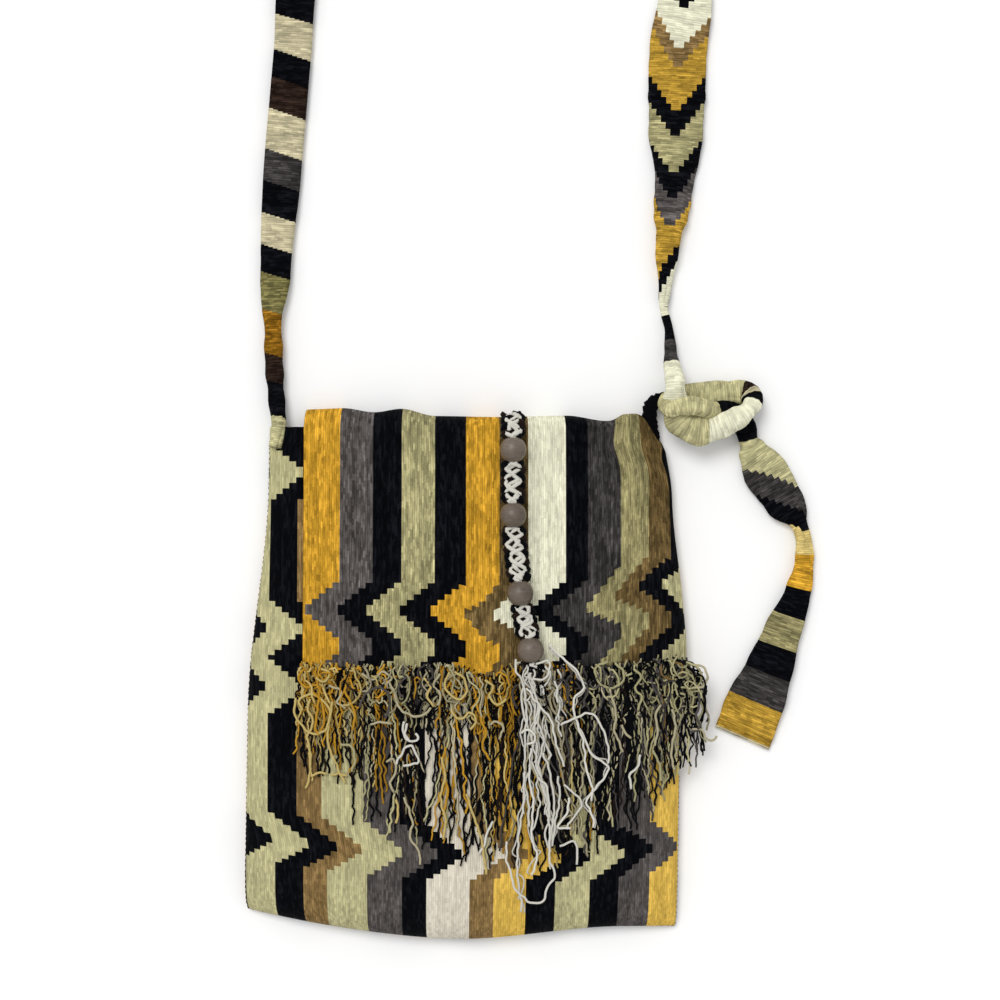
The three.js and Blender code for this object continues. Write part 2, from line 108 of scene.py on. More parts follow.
class BagColours(bpy.types.PropertyGroup):
    """The colours of the yarns and beads, as sRGB hex values."""

    ochre: StringProperty(name="Ochre", description="Golden yarn", default="#d09c2e")
    sage: StringProperty(name="Sage", description="Grey-green yarn", default="#beb88b")
    black: StringProperty(name="Black", description="Blue-black yarn", default="#04050b")
    brown: StringProperty(name="Brown", description="Light brown yarn", default="#8c7146")
    grey: StringProperty(name="Grey", description="Dark grey yarn", default="#5a5553")
    cream: StringProperty(name="Cream", description="Undyed yarn", default="#ddd5c3")
    umber: StringProperty(name="Umber", description="Darkest brown yarn", default="#2a1d16")
    white: StringProperty(name="White", description="Bleached yarn of the tassel", default="#f0ede2")
    honey: StringProperty(name="Honey", description="Paler golden yarn of the front", default="#e4bc55")
    fern: StringProperty(name="Fern", description="Deepest grey-green yarn", default="#978f64")
    moss: StringProperty(name="Moss", description="Deeper grey-green yarn of the flap", default="#a8a175")
    slate: StringProperty(name="Slate", description="Deeper grey yarn", default="#3e3b3a")
    ivory: StringProperty(name="Ivory", description="Palest yarn of the flap", default="#e5e3c8")
    bark: StringProperty(name="Bark", description="Deeper brown yarn of the flap", default="#6e5a36")
    flax: StringProperty(name="Flax", description="Unbleached yarn of strap and fringe", default="#c8be9c")
    olive: StringProperty(name="Olive", description="Dull green yarn of the strap", default="#7f784a")
    amber: StringProperty(name="Amber", description="Darker golden yarn of the strap", default="#906517")
    gold: StringProperty(name="Gold", description="Duller golden yarn of the strap", default="#bc9537")
    # In the fringe this pale yarn is painted highlight: strands that stand for the light on golden yarn, not
    # bleached ends. The tail's band has a stripe of it too.
    straw_and_highlight: StringProperty(name="Straw", description="Sun-bleached ends of the golden yarn", default="#dcc47c")
    seed: StringProperty(name="Seed", description="Beads", default="#65594e")


class BagSizes(bpy.types.PropertyGroup):
    """Sizes that only the looks depend on."""

    yarn: FloatProperty(
        name="Yarn", description="Spacing of the cloth's warp yarns", default=0.0013, unit="LENGTH"
    )
    strap_width: FloatProperty(
        name="Strap width", description="Width of the band laid flat", default=0.034, unit="LENGTH"
    )
    strap_cloth: FloatProperty(
        name="Strap cloth", description="Thickness of the band", default=0.0022, unit="LENGTH"
    )
    strands: IntProperty(
        name="Strands", description="Hanging strands in one bunch of the fringe", default=36, min=4
    )
    strand: FloatProperty(
        name="Strand", description="Diameter of a fringe strand", default=0.0012, unit="LENGTH"
    )
    tassel_yarn: FloatProperty(
        name="Tassel yarn", description="Diameter of the tassel's white yarn", default=0.0013, unit="LENGTH"
    )
    floor: FloatVectorProperty(
        name="Floor", description="Colour of the pale floor", subtype="COLOR", default=(0.93, 0.93, 0.93)
    )


def sizes():
    """The sizes that the scene holds."""
    return bpy.context.scene.bag_sizes


def linear(hex_colour):
    """An sRGB hex value as linear red, green, blue and alpha."""
    parts = [int(hex_colour[i : i + 2], 16) / 255 for i in (1, 3, 5)]
    return [p / 12.92 if p <= 0.04045 else ((p + 0.055) / 1.055) ** 2.4 for p in parts] + [1.0]


def yarn_colour(name):
    """A yarn's or bead's colour as the shaders take it."""
    return linear(getattr(bpy.context.scene.bag_colours, name))


# Small sums


def lerp(a, b, t):
    """From a at t = 0 to b at t = 1."""
    return a + (b - a) * t


def clamp(x, low=0.0, high=1.0):
    """x held between low and high."""
    return max(low, min(high, x))


def smooth(x, low, high):
    """An eased step from 0 at low to 1 at high."""
    t = clamp((x - low) / (high - low))
    return t * t * (3 - 2 * t)


def between(x, places):
    """A value read off a list of (place, value), eased from each place to the next."""
    for (x0, v0), (x1, v1) in zip(places, places[1:]):
        if x <= x1:
            return lerp(v0, v1, smooth(x, x0, x1))
    return places[-1][1]


# Shape of the pouch, in millimetres


def half_width(y):
    """Half the pouch's width, a little over the solid's."""
    return lerp(BOTTOM_WIDTH, TOP_WIDTH, smooth((y - BOTTOM_Y) / BAG_HEIGHT, 0.42, 0.85)) / 2 + 1.2


def edge_x(y, side):
    """Half width towards one side: the right upper corner is drawn in by the knot."""
    if side < 0:
        return half_width(y)
    fuller = 3.2 * smooth(y, -40, 30) * (1 - 0.65 * smooth(y, 45, 105))
    return (half_width(y) + fuller) * (1 - 0.045 * smooth(y, 100, 140) - 0.055 * smooth(y, 126, 146))


def middle_x(y):
    """The pouch's middle line, which leans."""
    return lerp(BOTTOM_LEAN, TOP_LEAN, clamp((y - BOTTOM_Y) / BAG_HEIGHT))


def mouth_taper(y):
    """How much of the belly is left towards the mouth."""
    return lerp(1, MOUTH_SHARE, smooth(y, HEM_Y, MOUTH_Y))


def wrinkle(x, y):
    """Slow unevenness that the front and the flap on it share."""
    slow = noise.noise(Vector((x / 62, y / 80, 3.1)))
    quick = noise.noise(Vector((x / 23, y / 48, 8.7)))
    valley = math.exp(-(((x - 83) / 6.5) ** 2)) * smooth(y, 104, 138)
    return 0.9 * slow + 0.35 * quick - 3.6 * valley


def front_point(angle, turn, y, offset):
    """A point of the front: an angle from its middle line, and a turn that closes it at the bottom."""
    side = math.sin(angle)
    drawn_in = CORNER_ROUND * (1 if side < 0 else 0.4) * (1 - math.sin(turn)) ** 2
    row_y = y - (BOTTOM_ROUND + offset) * math.cos(turn)
    sag = LEFT_SAG * abs(side) ** 1.6 if side < 0 else RIGHT_SAG * smooth(side, 0, 0.75)
    sag = (sag - MIDDLE_SAG) * (1 - (row_y - BOTTOM_Y) / BAG_HEIGHT) ** 3
    rise = max(math.cos(angle), 0) ** SIDE_POWER * math.sin(turn) ** SIDE_POWER
    x = middle_x(row_y) + (edge_x(row_y, side) - CLOTH - drawn_in + offset) * side
    lift = wrinkle(x, row_y) * rise
    return Vector((x, row_y + sag, SEAM_Z + (FRONT_RISE * mouth_taper(row_y) + offset) * rise + lift))


def front_height(x, y, offset):
    """Height of the front over a place on the plan, offset out of its inner face."""
    side = clamp((x - middle_x(y)) / (edge_x(y, x - middle_x(y)) - CLOTH + offset), -1, 1)
    down = clamp((ROUND_Y - y) / (BOTTOM_ROUND + offset))
    rise = (math.sqrt(1 - side**2) * math.sqrt(1 - down**2)) ** SIDE_POWER
    return SEAM_Z + (FRONT_RISE * mouth_taper(y) + offset) * rise + wrinkle(x, y) * rise


def ridge(x, y):
    """How far the flap's soft ridge beside its right upper corner lifts it off the front."""
    away = (x - 97 - 9 * (1 - smooth(y, 95, 150))) / RIDGE_WIDTH
    return RIDGE_HEIGHT * math.exp(-(away**2)) * smooth(y, TOP_Y - RIDGE_REACH, FOLD_Y)


def flap_point(angle, y, offset):
    """A point of the flap over the front."""
    point = front_point(angle, math.pi / 2, y, offset)
    outer = front_point(angle, math.pi / 2, y, FLAP_OUTER)
    point.z += ridge(outer.x, outer.y)
    # The ridge leans over the hollow beside it.
    point.x -= 9 * math.exp(-(((outer.x - 94) / 10) ** 2) - ((y - 127) / 17) ** 2)
    return point


def hem(x):
    """The flap's hem, which hangs a little lower at its second golden stripe."""
    return HEM_Y - 6 * math.exp(-(((x - 13) / 9) ** 2))


def flap_top(x, y):
    """Height of the flap's upper face over a place on the plan."""
    return front_height(x, y, FLAP_OUTER) + ridge(x, y)


def front_top(x, y):
    """Height of the front's upper face over a place on the plan."""
    return front_height(x, y, CLOTH)


# Meshes


def finish_mesh(name, bm, materials, shade_smooth=True):
    """A bmesh as an object that rides on the bag."""
    mesh = bpy.data.meshes.new(name)
    for material in materials:
        mesh.materials.append(material)
    for face in bm.faces:
        face.smooth = shade_smooth
    bm.to_mesh(mesh)
    bm.free()
    piece = bpy.data.objects.new(name, mesh)
    bpy.context.collection.objects.link(piece)
    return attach(piece, "root")


def grid_cloth(name, columns, rows, place, coordinate, material, thick, side):
    """A woven sheet: a grid laid by place(u, v), with its cloth coordinate in metres as its UV map."""
    bm = bmesh.new()
    bmesh.ops.create_grid(bm, x_segments=columns, y_segments=rows, size=0.5)
    uv = bm.loops.layers.uv.new("cloth")
    flat = {vert: (vert.co.x + 0.5, vert.co.y + 0.5) for vert in bm.verts}
    for face in bm.faces:
        for loop in face.loops:
            loop[uv].uv = coordinate(*flat[loop.vert])
    for vert, (u, v) in flat.items():
        vert.co = place(u, v) * MM
    piece = finish_mesh(name, bm, [material])
    solidify = piece.modifiers.new("thickness", "SOLIDIFY")
    solidify.thickness = thick
    solidify.offset = side
    solidify.use_even_offset = False
    return piece


def smooth_route(points, step):
    """Points along a Catmull-Rom curve through the given ones, about one step apart."""
    points = [Vector(p) for p in points]
    ends = [2 * points[0] - points[1], *points, 2 * points[-1] - points[-2]]
    route = []
    for p0, p1, p2, p3 in zip(ends, ends[1:], ends[2:], ends[3:]):
        count = max(1, round((p2 - p1).length / step))
        for i in range(count):
            t = i / count
            curve = 2 * p1 + (p2 - p0) * t
            curve += (2 * p0 - 5 * p1 + 4 * p2 - p3) * t**2
            curve += (3 * p1 - p0 - 3 * p2 + p3) * t**3
            route.append(curve / 2)
    return [*route, points[-1]]


def directions(route):
    """The way ahead at each point of a route."""
    ends = [route[0], *route, route[-1]]
    return [(b - a).normalized() for a, b in zip(ends, ends[2:])]


def add_tube(bm, route, radius, sides, slot, shade):
    """A round yarn along a route in millimetres, with its length and girth in metres as its UV map."""
    uv = bm.loops.layers.uv.verify()
    tone = bm.verts.layers.float.get("shade") or bm.verts.layers.float.new("shade")
    made = bmesh.ops.create_grid(bm, x_segments=sides, y_segments=len(route) - 1, size=0.5)
    rings = [[None] * (sides + 1) for _ in route]
    for vert in made["verts"]:
        column = round((vert.co.x + 0.5) * sides)
        rings[round((vert.co.y + 0.5) * (len(route) - 1))][column] = vert
    reach = 0.0
    place = {}
    normal = Vector((0.3, 0.1, 1))
    for i, (point, along) in enumerate(zip(route, directions(route))):
        reach += (point - route[i - 1]).length if i else 0.0
        normal = (normal - along * normal.dot(along)).normalized()
        other = along.cross(normal)
        thick = radius(i / (len(route) - 1)) if callable(radius) else radius
        for column, vert in enumerate(rings[i]):
            turn = 2 * math.pi * column / sides
            place[vert] = (column / sides, reach * MM)
            vert.co = (point + (normal * math.cos(turn) + other * math.sin(turn)) * thick) * MM
            vert[tone] = shade
    faces = {face for vert in made["verts"] for face in vert.link_faces}
    for face in faces:
        face.material_index = slot
        for loop in face.loops:
            loop[uv].uv = place[loop.vert]
    bmesh.ops.weld_verts(bm, targetmap={ring[-1]: ring[0] for ring in rings})
    rims = [edge for ring in (rings[0], rings[-1]) for vert in ring[:-1] for edge in vert.link_edges]
    rims = list({edge for edge in rims if edge.is_boundary})
    for face in bmesh.ops.holes_fill(bm, edges=rims, sides=0)["faces"]:
        face.material_index = slot


# Materials


def add_node(tree, kind, inputs, **settings):
    """Add a node with its settings, and link or set its inputs."""
    node = tree.nodes.new(kind)
    for name, value in settings.items():
        setattr(node, name, value)
    for name, value in inputs.items():
        socket = node.inputs[name]
        if isinstance(value, bpy.types.NodeSocket):
            tree.links.new(value, socket)
        else:
            socket.default_value = value
    return node


def new_material(name, roughness, sheen):
    """A matt material with its node tree and shader."""
    material = bpy.data.materials.new(name)
    material.use_nodes = True
    shader = material.node_tree.nodes["Principled BSDF"]
    shader.inputs["Roughness"].default_value = roughness
    shader.inputs["Specular IOR Level"].default_value = 0.06
    shader.inputs["Sheen Weight"].default_value = sheen
    shader.inputs["Sheen Roughness"].default_value = 0.6
    return material, material.node_tree, shader


def set_ramp(node, stops):
    """Hard-edged colours along a ramp, from (place, colour) with places from 0 to 1."""
    ramp = node.color_ramp
    ramp.interpolation = "CONSTANT"
    ramp.elements[0].position, ramp.elements[0].color = 0.0, stops[0][1]
    ramp.elements.remove(ramp.elements[1])
    for place, colour in stops[1:]:
        ramp.elements.new(clamp(place)).color = colour


def woven_finish(tree, shader, colour, across, along, uneven):
    """One-faced weave: yarns side by side, each in its own tone, with streaks and flecks along it."""
    # The spacing is a little coarser than the real yarn's, so that it shows.
    yarn_mm = sizes().yarn / MM
    gap_tone = 0.84
    # A more uneven weave is raised to a higher power below, so its tone starts brighter.
    even = gap_tone ** (1 / uneven - 1)
    count = add_node(tree, "ShaderNodeMath", {0: across, 1: yarn_mm}, operation="DIVIDE").outputs[0]
    index = add_node(tree, "ShaderNodeMath", {0: count}, operation="FLOOR").outputs[0]
    own = add_node(tree, "ShaderNodeTexWhiteNoise", {"W": index}, noise_dimensions="1D").outputs["Value"]
    # Flecks: where a yarn dips under the next crossing yarn, it shows a darker or lighter dash.
    dash = add_node(tree, "ShaderNodeMath", {0: own, 1: 31.0, 2: along}, operation="MULTIPLY_ADD").outputs[0]
    cell = add_node(tree, "ShaderNodeMath", {0: dash, 1: 3.7}, operation="DIVIDE").outputs[0]
    cell = add_node(tree, "ShaderNodeMath", {0: cell}, operation="FLOOR").outputs[0]
    spot = add_node(tree, "ShaderNodeCombineXYZ", {0: index, 1: cell}).outputs[0]
    fleck = add_node(
        tree, "ShaderNodeTexWhiteNoise", {"Vector": spot}, noise_dimensions="2D"
    ).outputs["Value"]
    fleck = add_node(tree, "ShaderNodeMapRange", {0: fleck, 1: 0.0, 2: 1.0, 3: 0.8, 4: 1.12}).outputs[0]
    # Streaks: uneven dye and thickness along each few yarns.
    lengthways = add_node(tree, "ShaderNodeMath", {0: along, 1: 10.0}, operation="DIVIDE").outputs[0]
    place = add_node(tree, "ShaderNodeCombineXYZ", {0: count, 1: lengthways, 2: own}).outputs[0]
    streak = add_node(
        tree, "ShaderNodeTexNoise", {"Vector": place, "Scale": 0.7, "Detail": 4.0, "Roughness": 0.7}
    ).outputs["Fac"]
    toned = add_node(tree, "ShaderNodeMapRange", {0: streak, 1: 0.28, 2: 0.72, 3: 0.62, 4: 1.28}).outputs[0]
    wide = add_node(tree, "ShaderNodeCombineXYZ", {0: across, 1: lengthways}).outputs[0]
    cloud = add_node(
        tree, "ShaderNodeTexNoise", {"Vector": wide, "Scale": 0.16, "Detail": 3.0}
    ).outputs["Fac"]
    cloud = add_node(tree, "ShaderNodeMapRange", {0: cloud, 1: 0.3, 2: 0.7, 3: 0.86, 4: 1.12}).outputs[0]
    tone = add_node(tree, "ShaderNodeMath", {0: toned, 1: fleck}, operation="MULTIPLY").outputs[0]
    tone = add_node(tree, "ShaderNodeMath", {0: tone, 1: cloud}, operation="MULTIPLY").outputs[0]
    # A trace of grey that follows the tone: partly lighter threads, partly painted highlight.
    threads_and_glints = add_node(tree, "ShaderNodeMapRange", {0: tone, 1: 0.85, 2: 1.3, 3: 0.0, 4: 0.0065}).outputs[0]
    # The gaps between yarns are darker, because little light reaches them.
    wave = add_node(tree, "ShaderNodeMath", {0: count, 1: math.pi}, operation="MULTIPLY").outputs[0]
    sine = add_node(tree, "ShaderNodeMath", {0: wave}, operation="SINE").outputs[0]
    back = add_node(tree, "ShaderNodeMath", {0: sine}, operation="ABSOLUTE").outputs[0]
    gap = add_node(
        tree, "ShaderNodeMapRange", {0: back, 1: 0.0, 2: 0.6, 3: gap_tone * even, 4: even}
    ).outputs[0]
    tone = add_node(tree, "ShaderNodeMath", {0: tone, 1: gap}, operation="MULTIPLY").outputs[0]
    # Dark yarn shows its unevenness more than pale yarn does.
    light = add_node(tree, "ShaderNodeRGBToBW", {0: colour}).outputs[0]
    power = add_node(
        tree, "ShaderNodeMapRange", {0: light, 1: 0.03, 2: 0.7, 3: 2.1 * uneven, 4: 0.62 * uneven}
    ).outputs[0]
    tone = add_node(tree, "ShaderNodeMath", {0: tone, 1: power}, operation="POWER").outputs[0]
    shaded = add_node(
        tree,
        "ShaderNodeMix",
        {0: 1.0, 6: colour, 7: tone},
        data_type="RGBA",
        blend_type="MULTIPLY",
    ).outputs[2]
    # Painted highlight, partly lighter threads: a trace of grey in dashes for the faint glints of the yarn,
    # which only shows on black yarn.
    shaded = add_node(
        tree, "ShaderNodeMix", {0: 1.0, 6: shaded, 7: threads_and_glints}, data_type="RGBA", blend_type="ADD"
    ).outputs[2]
    tree.links.new(shaded, shader.inputs["Base Color"])
    relief = add_node(
        tree, "ShaderNodeMath", {0: streak, 1: 1.4, 2: back}, operation="MULTIPLY_ADD"
    ).outputs[0]
    relief = add_node(
        tree, "ShaderNodeMath", {0: fleck, 1: 1.2, 2: relief}, operation="MULTIPLY_ADD"
    ).outputs[0]
    bump = add_node(tree, "ShaderNodeBump", {"Strength": 0.5, "Distance": 0.0005, "Height": relief})
    tree.links.new(bump.outputs[0], shader.inputs["Normal"])


def cloth_coordinates(tree):
    """The sheet's own coordinate in millimetres: across its yarns and along them."""
    place = add_node(tree, "ShaderNodeUVMap", {}, uv_map="cloth").outputs[0]
    scaled = add_node(tree, "ShaderNodeVectorMath", {0: place, "Scale": 1 / MM}, operation="SCALE").outputs[0]
    parts = add_node(tree, "ShaderNodeSeparateXYZ", {0: scaled})
    return parts.outputs[0], parts.outputs[1]


# A stepped zigzag: each stripe is carried sideways in a tooth and back, a few yarns at a time.
TOOTH_REACH = 20.0
TOOTH_HALF = 16.0
TOOTH_FLAT = 3.0
TOOTH_STEPS = 5


def cotton_stripes(name, stripes, teeth, heading, uneven):
    """Hand-spun cotton, warp-faced plain weave: matt, ribbed lengthways, stripes with a stepped zigzag."""
    material, tree, shader = new_material(name, 0.95, 0.0)
    across, along = cloth_coordinates(tree)
    carried = None
    for tooth in teeth:
        away = add_node(tree, "ShaderNodeMath", {0: along, 1: tooth}, operation="SUBTRACT").outputs[0]
        away = add_node(tree, "ShaderNodeMath", {0: away}, operation="ABSOLUTE").outputs[0]
        share = add_node(
            tree, "ShaderNodeMapRange", {0: away, 1: TOOTH_FLAT, 2: TOOTH_FLAT + TOOTH_HALF, 3: 1.0, 4: 0.0}
        ).outputs[0]
        if carried is None:
            carried = share
        else:
            carried = add_node(tree, "ShaderNodeMath", {0: carried, 1: share}, operation="MAXIMUM").outputs[0]
    stepped = add_node(tree, "ShaderNodeMath", {0: carried, 1: 1 / TOOTH_STEPS}, operation="SNAP").outputs[0]
    moved = add_node(
        tree, "ShaderNodeMath", {0: stepped, 1: TOOTH_REACH * heading, 2: across}, operation="MULTIPLY_ADD"
    ).outputs[0]
    first, last = stripes[0][0], stripes[-1][0] + 60
    share = add_node(tree, "ShaderNodeMapRange", {0: moved, 1: first, 2: last, 3: 0.0, 4: 1.0}).outputs[0]
    ramp = add_node(tree, "ShaderNodeValToRGB", {0: share})
    set_ramp(ramp, [((x - first) / (last - first), yarn_colour(c)) for x, c in stripes])
    woven_finish(tree, shader, ramp.outputs[0], across, along, uneven)
    return material


def yarn_finish(name, colour, plies=2, pitch=3.2):
    """Plied cotton yarn: matt, with slanting plies, and each strand a little lighter or darker."""
    material, tree, shader = new_material(name, 0.92, 0.02)
    place = add_node(tree, "ShaderNodeUVMap", {}, uv_map="UVMap").outputs[0]
    parts = add_node(tree, "ShaderNodeSeparateXYZ", {0: place})
    turn = add_node(tree, "ShaderNodeMath", {0: parts.outputs[0], 1: plies}, operation="MULTIPLY").outputs[0]
    climb = add_node(
        tree,
        "ShaderNodeMath",
        {0: parts.outputs[1], 1: plies / (pitch * MM), 2: turn},
        operation="MULTIPLY_ADD",
    ).outputs[0]
    wave = add_node(tree, "ShaderNodeMath", {0: climb, 1: math.pi}, operation="MULTIPLY").outputs[0]
    sine = add_node(tree, "ShaderNodeMath", {0: wave}, operation="SINE").outputs[0]
    ply = add_node(tree, "ShaderNodeMath", {0: sine}, operation="ABSOLUTE").outputs[0]
    shade = add_node(tree, "ShaderNodeAttribute", {}, attribute_name="shade").outputs["Fac"]
    own = add_node(tree, "ShaderNodeMapRange", {0: shade, 1: 0.0, 2: 1.0, 3: 0.62, 4: 1.28}).outputs[0]
    # Painted shade: each yarn is darker in the grooves between its plies, where little light reaches.
    gap = add_node(tree, "ShaderNodeMapRange", {0: ply, 1: 0.0, 2: 0.6, 3: 0.66, 4: 1.0}).outputs[0]
    tone = add_node(tree, "ShaderNodeMath", {0: own, 1: gap}, operation="MULTIPLY").outputs[0]
    tinted = add_node(
        tree,
        "ShaderNodeMix",
        {0: 1.0, 6: yarn_colour(colour), 7: tone},
        data_type="RGBA",
        blend_type="MULTIPLY",
    ).outputs[2]
    tree.links.new(tinted, shader.inputs["Base Color"])
    bump = add_node(tree, "ShaderNodeBump", {"Strength": 0.6, "Distance": 0.0006, "Height": ply})
    tree.links.new(bump.outputs[0], shader.inputs["Normal"])
    return material


YARNS = ["ochre", "sage", "black", "brown", "grey", "cream", "umber", "white", "straw_and_highlight", "flax"]


def yarns():
    """One material for each colour of loose yarn, in the order of YARNS."""
    names = [f"plied cotton yarn {colour}" for colour in YARNS]
    return [bpy.data.materials.get(n) or yarn_finish(n, c) for n, c in zip(names, YARNS)]


def seed_bead_finish():
    """Polished palm seed: satin, brown-grey, with fine rings round its bore and darker pits."""
    material, tree, shader = new_material("polished palm seed", 0.42, 0.0)
    shader.inputs["Specular IOR Level"].default_value = 0.45
    place = add_node(tree, "ShaderNodeTexCoord", {}).outputs["Object"]
    long_grain = add_node(tree, "ShaderNodeMapping", {"Vector": place, "Scale": (1, 4, 1)}).outputs[0]
    grain = add_node(
        tree, "ShaderNodeTexNoise", {"Vector": long_grain, "Scale": 260.0, "Detail": 4.0, "Roughness": 0.6}
    ).outputs["Fac"]
    patch = add_node(
        tree, "ShaderNodeTexNoise", {"Vector": place, "Scale": 70.0, "Detail": 2.0}
    ).outputs["Fac"]
    both = add_node(tree, "ShaderNodeMath", {0: grain, 1: patch}, operation="ADD").outputs[0]
    tone = add_node(tree, "ShaderNodeMapRange", {0: both, 1: 0.7, 2: 1.35, 3: 0.6, 4: 1.3}).outputs[0]
    tinted = add_node(
        tree,
        "ShaderNodeMix",
        {0: 1.0, 6: yarn_colour("seed"), 7: tone},
        data_type="RGBA",
        blend_type="MULTIPLY",
    ).outputs[2]
    tree.links.new(tinted, shader.inputs["Base Color"])
    bump = add_node(tree, "ShaderNodeBump", {"Strength": 0.3, "Distance": 0.0003, "Height": grain})
    tree.links.new(bump.outputs[0], shader.inputs["Normal"])
    return material


# Pouch


def girth(place, start, end, count=160):
    """Lengths along a curve place(t) in the plan's X and in height, for reading a stripe's place off."""
    table = []
    reach = 0.0
    last = place(start)
    for i in range(count + 1):
        point = place(lerp(start, end, i / count))
        reach += math.hypot(point.x - last.x, point.z - last.z)
        table.append((point.x, reach))
        last = point
    return table


def read_off(table, x):
    """The length at a place x, from the table that girth gives."""
    for (x0, s0), (x1, s1) in zip(table, table[1:]):
        if x <= x1:
            return lerp(s0, s1, (x - x0) / max(x1 - x0, 1e-6))
    return table[-1][1] + x - table[-1][0]


# Stripes of the front, low on the bag: left edge of each on the plan in millimetres, and its yarn
FRONT_STRIPES = [
    (-124, "sage"),
    (-109, "black"),
    (-92.3, "brown"),
    (-78.5, "sage"),
    (-56.5, "grey"),
    (-36.4, "black"),
    (-21.9, "cream"),
    (3.5, "brown"),
    (16.2, "honey"),
    (35, "black"),
    (51.4, "sage"),
    (72.7, "black"),
    (88.9, "grey"),
    (106.2, "honey"),
]
FRONT_TEETH = (115.7, 24.5, -10.1, -102.4)

# Stripes of the flap, read below its fold, and where its teeth lie
FLAP_STRIPES = [
    (-95, "ochre"),
    (-72.2, "grey"),
    (-52.8, "black"),
    (-36.4, "moss"),
    (-17.3, "black"),
    (0, "ochre"),
    (19.6, "bark"),
    (35.8, "ivory"),
    (58.2, "black"),
    (70.5, "slate"),
    (89.5, "fern"),
    (106.5, "bark"),
    (118.6, "black"),
    (131, "sage"),
]
FLAP_TEETH = (36.1, -5.5)
FLAP_READ_Y = 95
FLAP_EDGE_X = -92.9


class BAG_OT_front_panel(bpy.types.Operator):
    """The woven front of the pouch, sewn down at its sides and bottom"""

    bl_idname = "bag.front_panel"
    bl_label = "Front panel"

    def execute(self, context):
        # The share of the rows that turn under at the bottom
        bottom = 0.17
        half = math.pi / 2

        def row(v):
            """The turn and the height on the plan of a row of the cloth."""
            if v < bottom:
                return v / bottom * half, ROUND_Y
            return half, lerp(ROUND_Y, MOUTH_Y, (v - bottom) / (1 - bottom))

        def place(u, v):
            turn, y = row(v)
            return front_point(lerp(-half, half, u), turn, y, CLOTH)

        table = girth(lambda angle: front_point(angle, half, ROUND_Y, CLOTH), -half, half)
        middle = read_off(table, 0)
        rows = {}

        def coordinate(u, v):
            turn, y = row(v)
            if y not in rows:
                rows[y] = girth(lambda angle: front_point(angle, half, y, CLOTH), -half, half)
            x = front_point(lerp(-half, half, u), half, y, CLOTH).x
            across = read_off(rows[y], x) - read_off(rows[y], 0)
            # On the left the stripes lie further out from the lowest teeth up, and further in at the mouth.
            if across < 0:
                across *= 1 - 0.05 * smooth(y, -112, -84)
                across -= 7 * smooth(y, 131.6, 133)
            # Beside the flap's lower corner, a short strip of the front is coloured black out to the flap's
            # edge.
            if 4 < y < 11 and x < FLAP_EDGE_X + 3:
                across = min(across, read_off(table, FRONT_STRIPES[2][0]) - middle - 0.5)
            # The teeth right of the middle lie lower.
            lower = 6 * smooth(across, 25, 60) * (1 - 0.6 * smooth(across, 85, 105))
            return across * MM, (y + lower - BOTTOM_ROUND * 1.2 * (half - turn)) * MM

        stripes = [(read_off(table, x) - middle, colour) for x, colour in FRONT_STRIPES]
        # The first stripe runs on round the edge.
        stripes[0] = (stripes[0][0] - 4.6, stripes[0][1])
        stripes.insert(0, (-200, "black"))
        stripes.append((read_off(table, 124.8) - middle, "black"))
        material = cotton_stripes("warp-faced cotton front", stripes, FRONT_TEETH, -1, 0.85)
        piece = grid_cloth("front_panel_cloth", 120, 130, place, coordinate, material, CLOTH * MM, -1)
        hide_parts("front_panel")
        return {"FINISHED"}


# The upper edge of the fold isn't straight: how far it lies below its highest place, along the plan
FOLD_EDGE = [
    (-98, 1.6),
    (-90, 0.6),
    (-71, 0),
    (-53, 2.4),
    (-37, 0.4),
    (-17, 4.6),
    (20, 5.2),
    (61, 4.4),
    (84, 7.4),
    (93, 3.4),
    (103, 1.4),
    (115, 3),
]


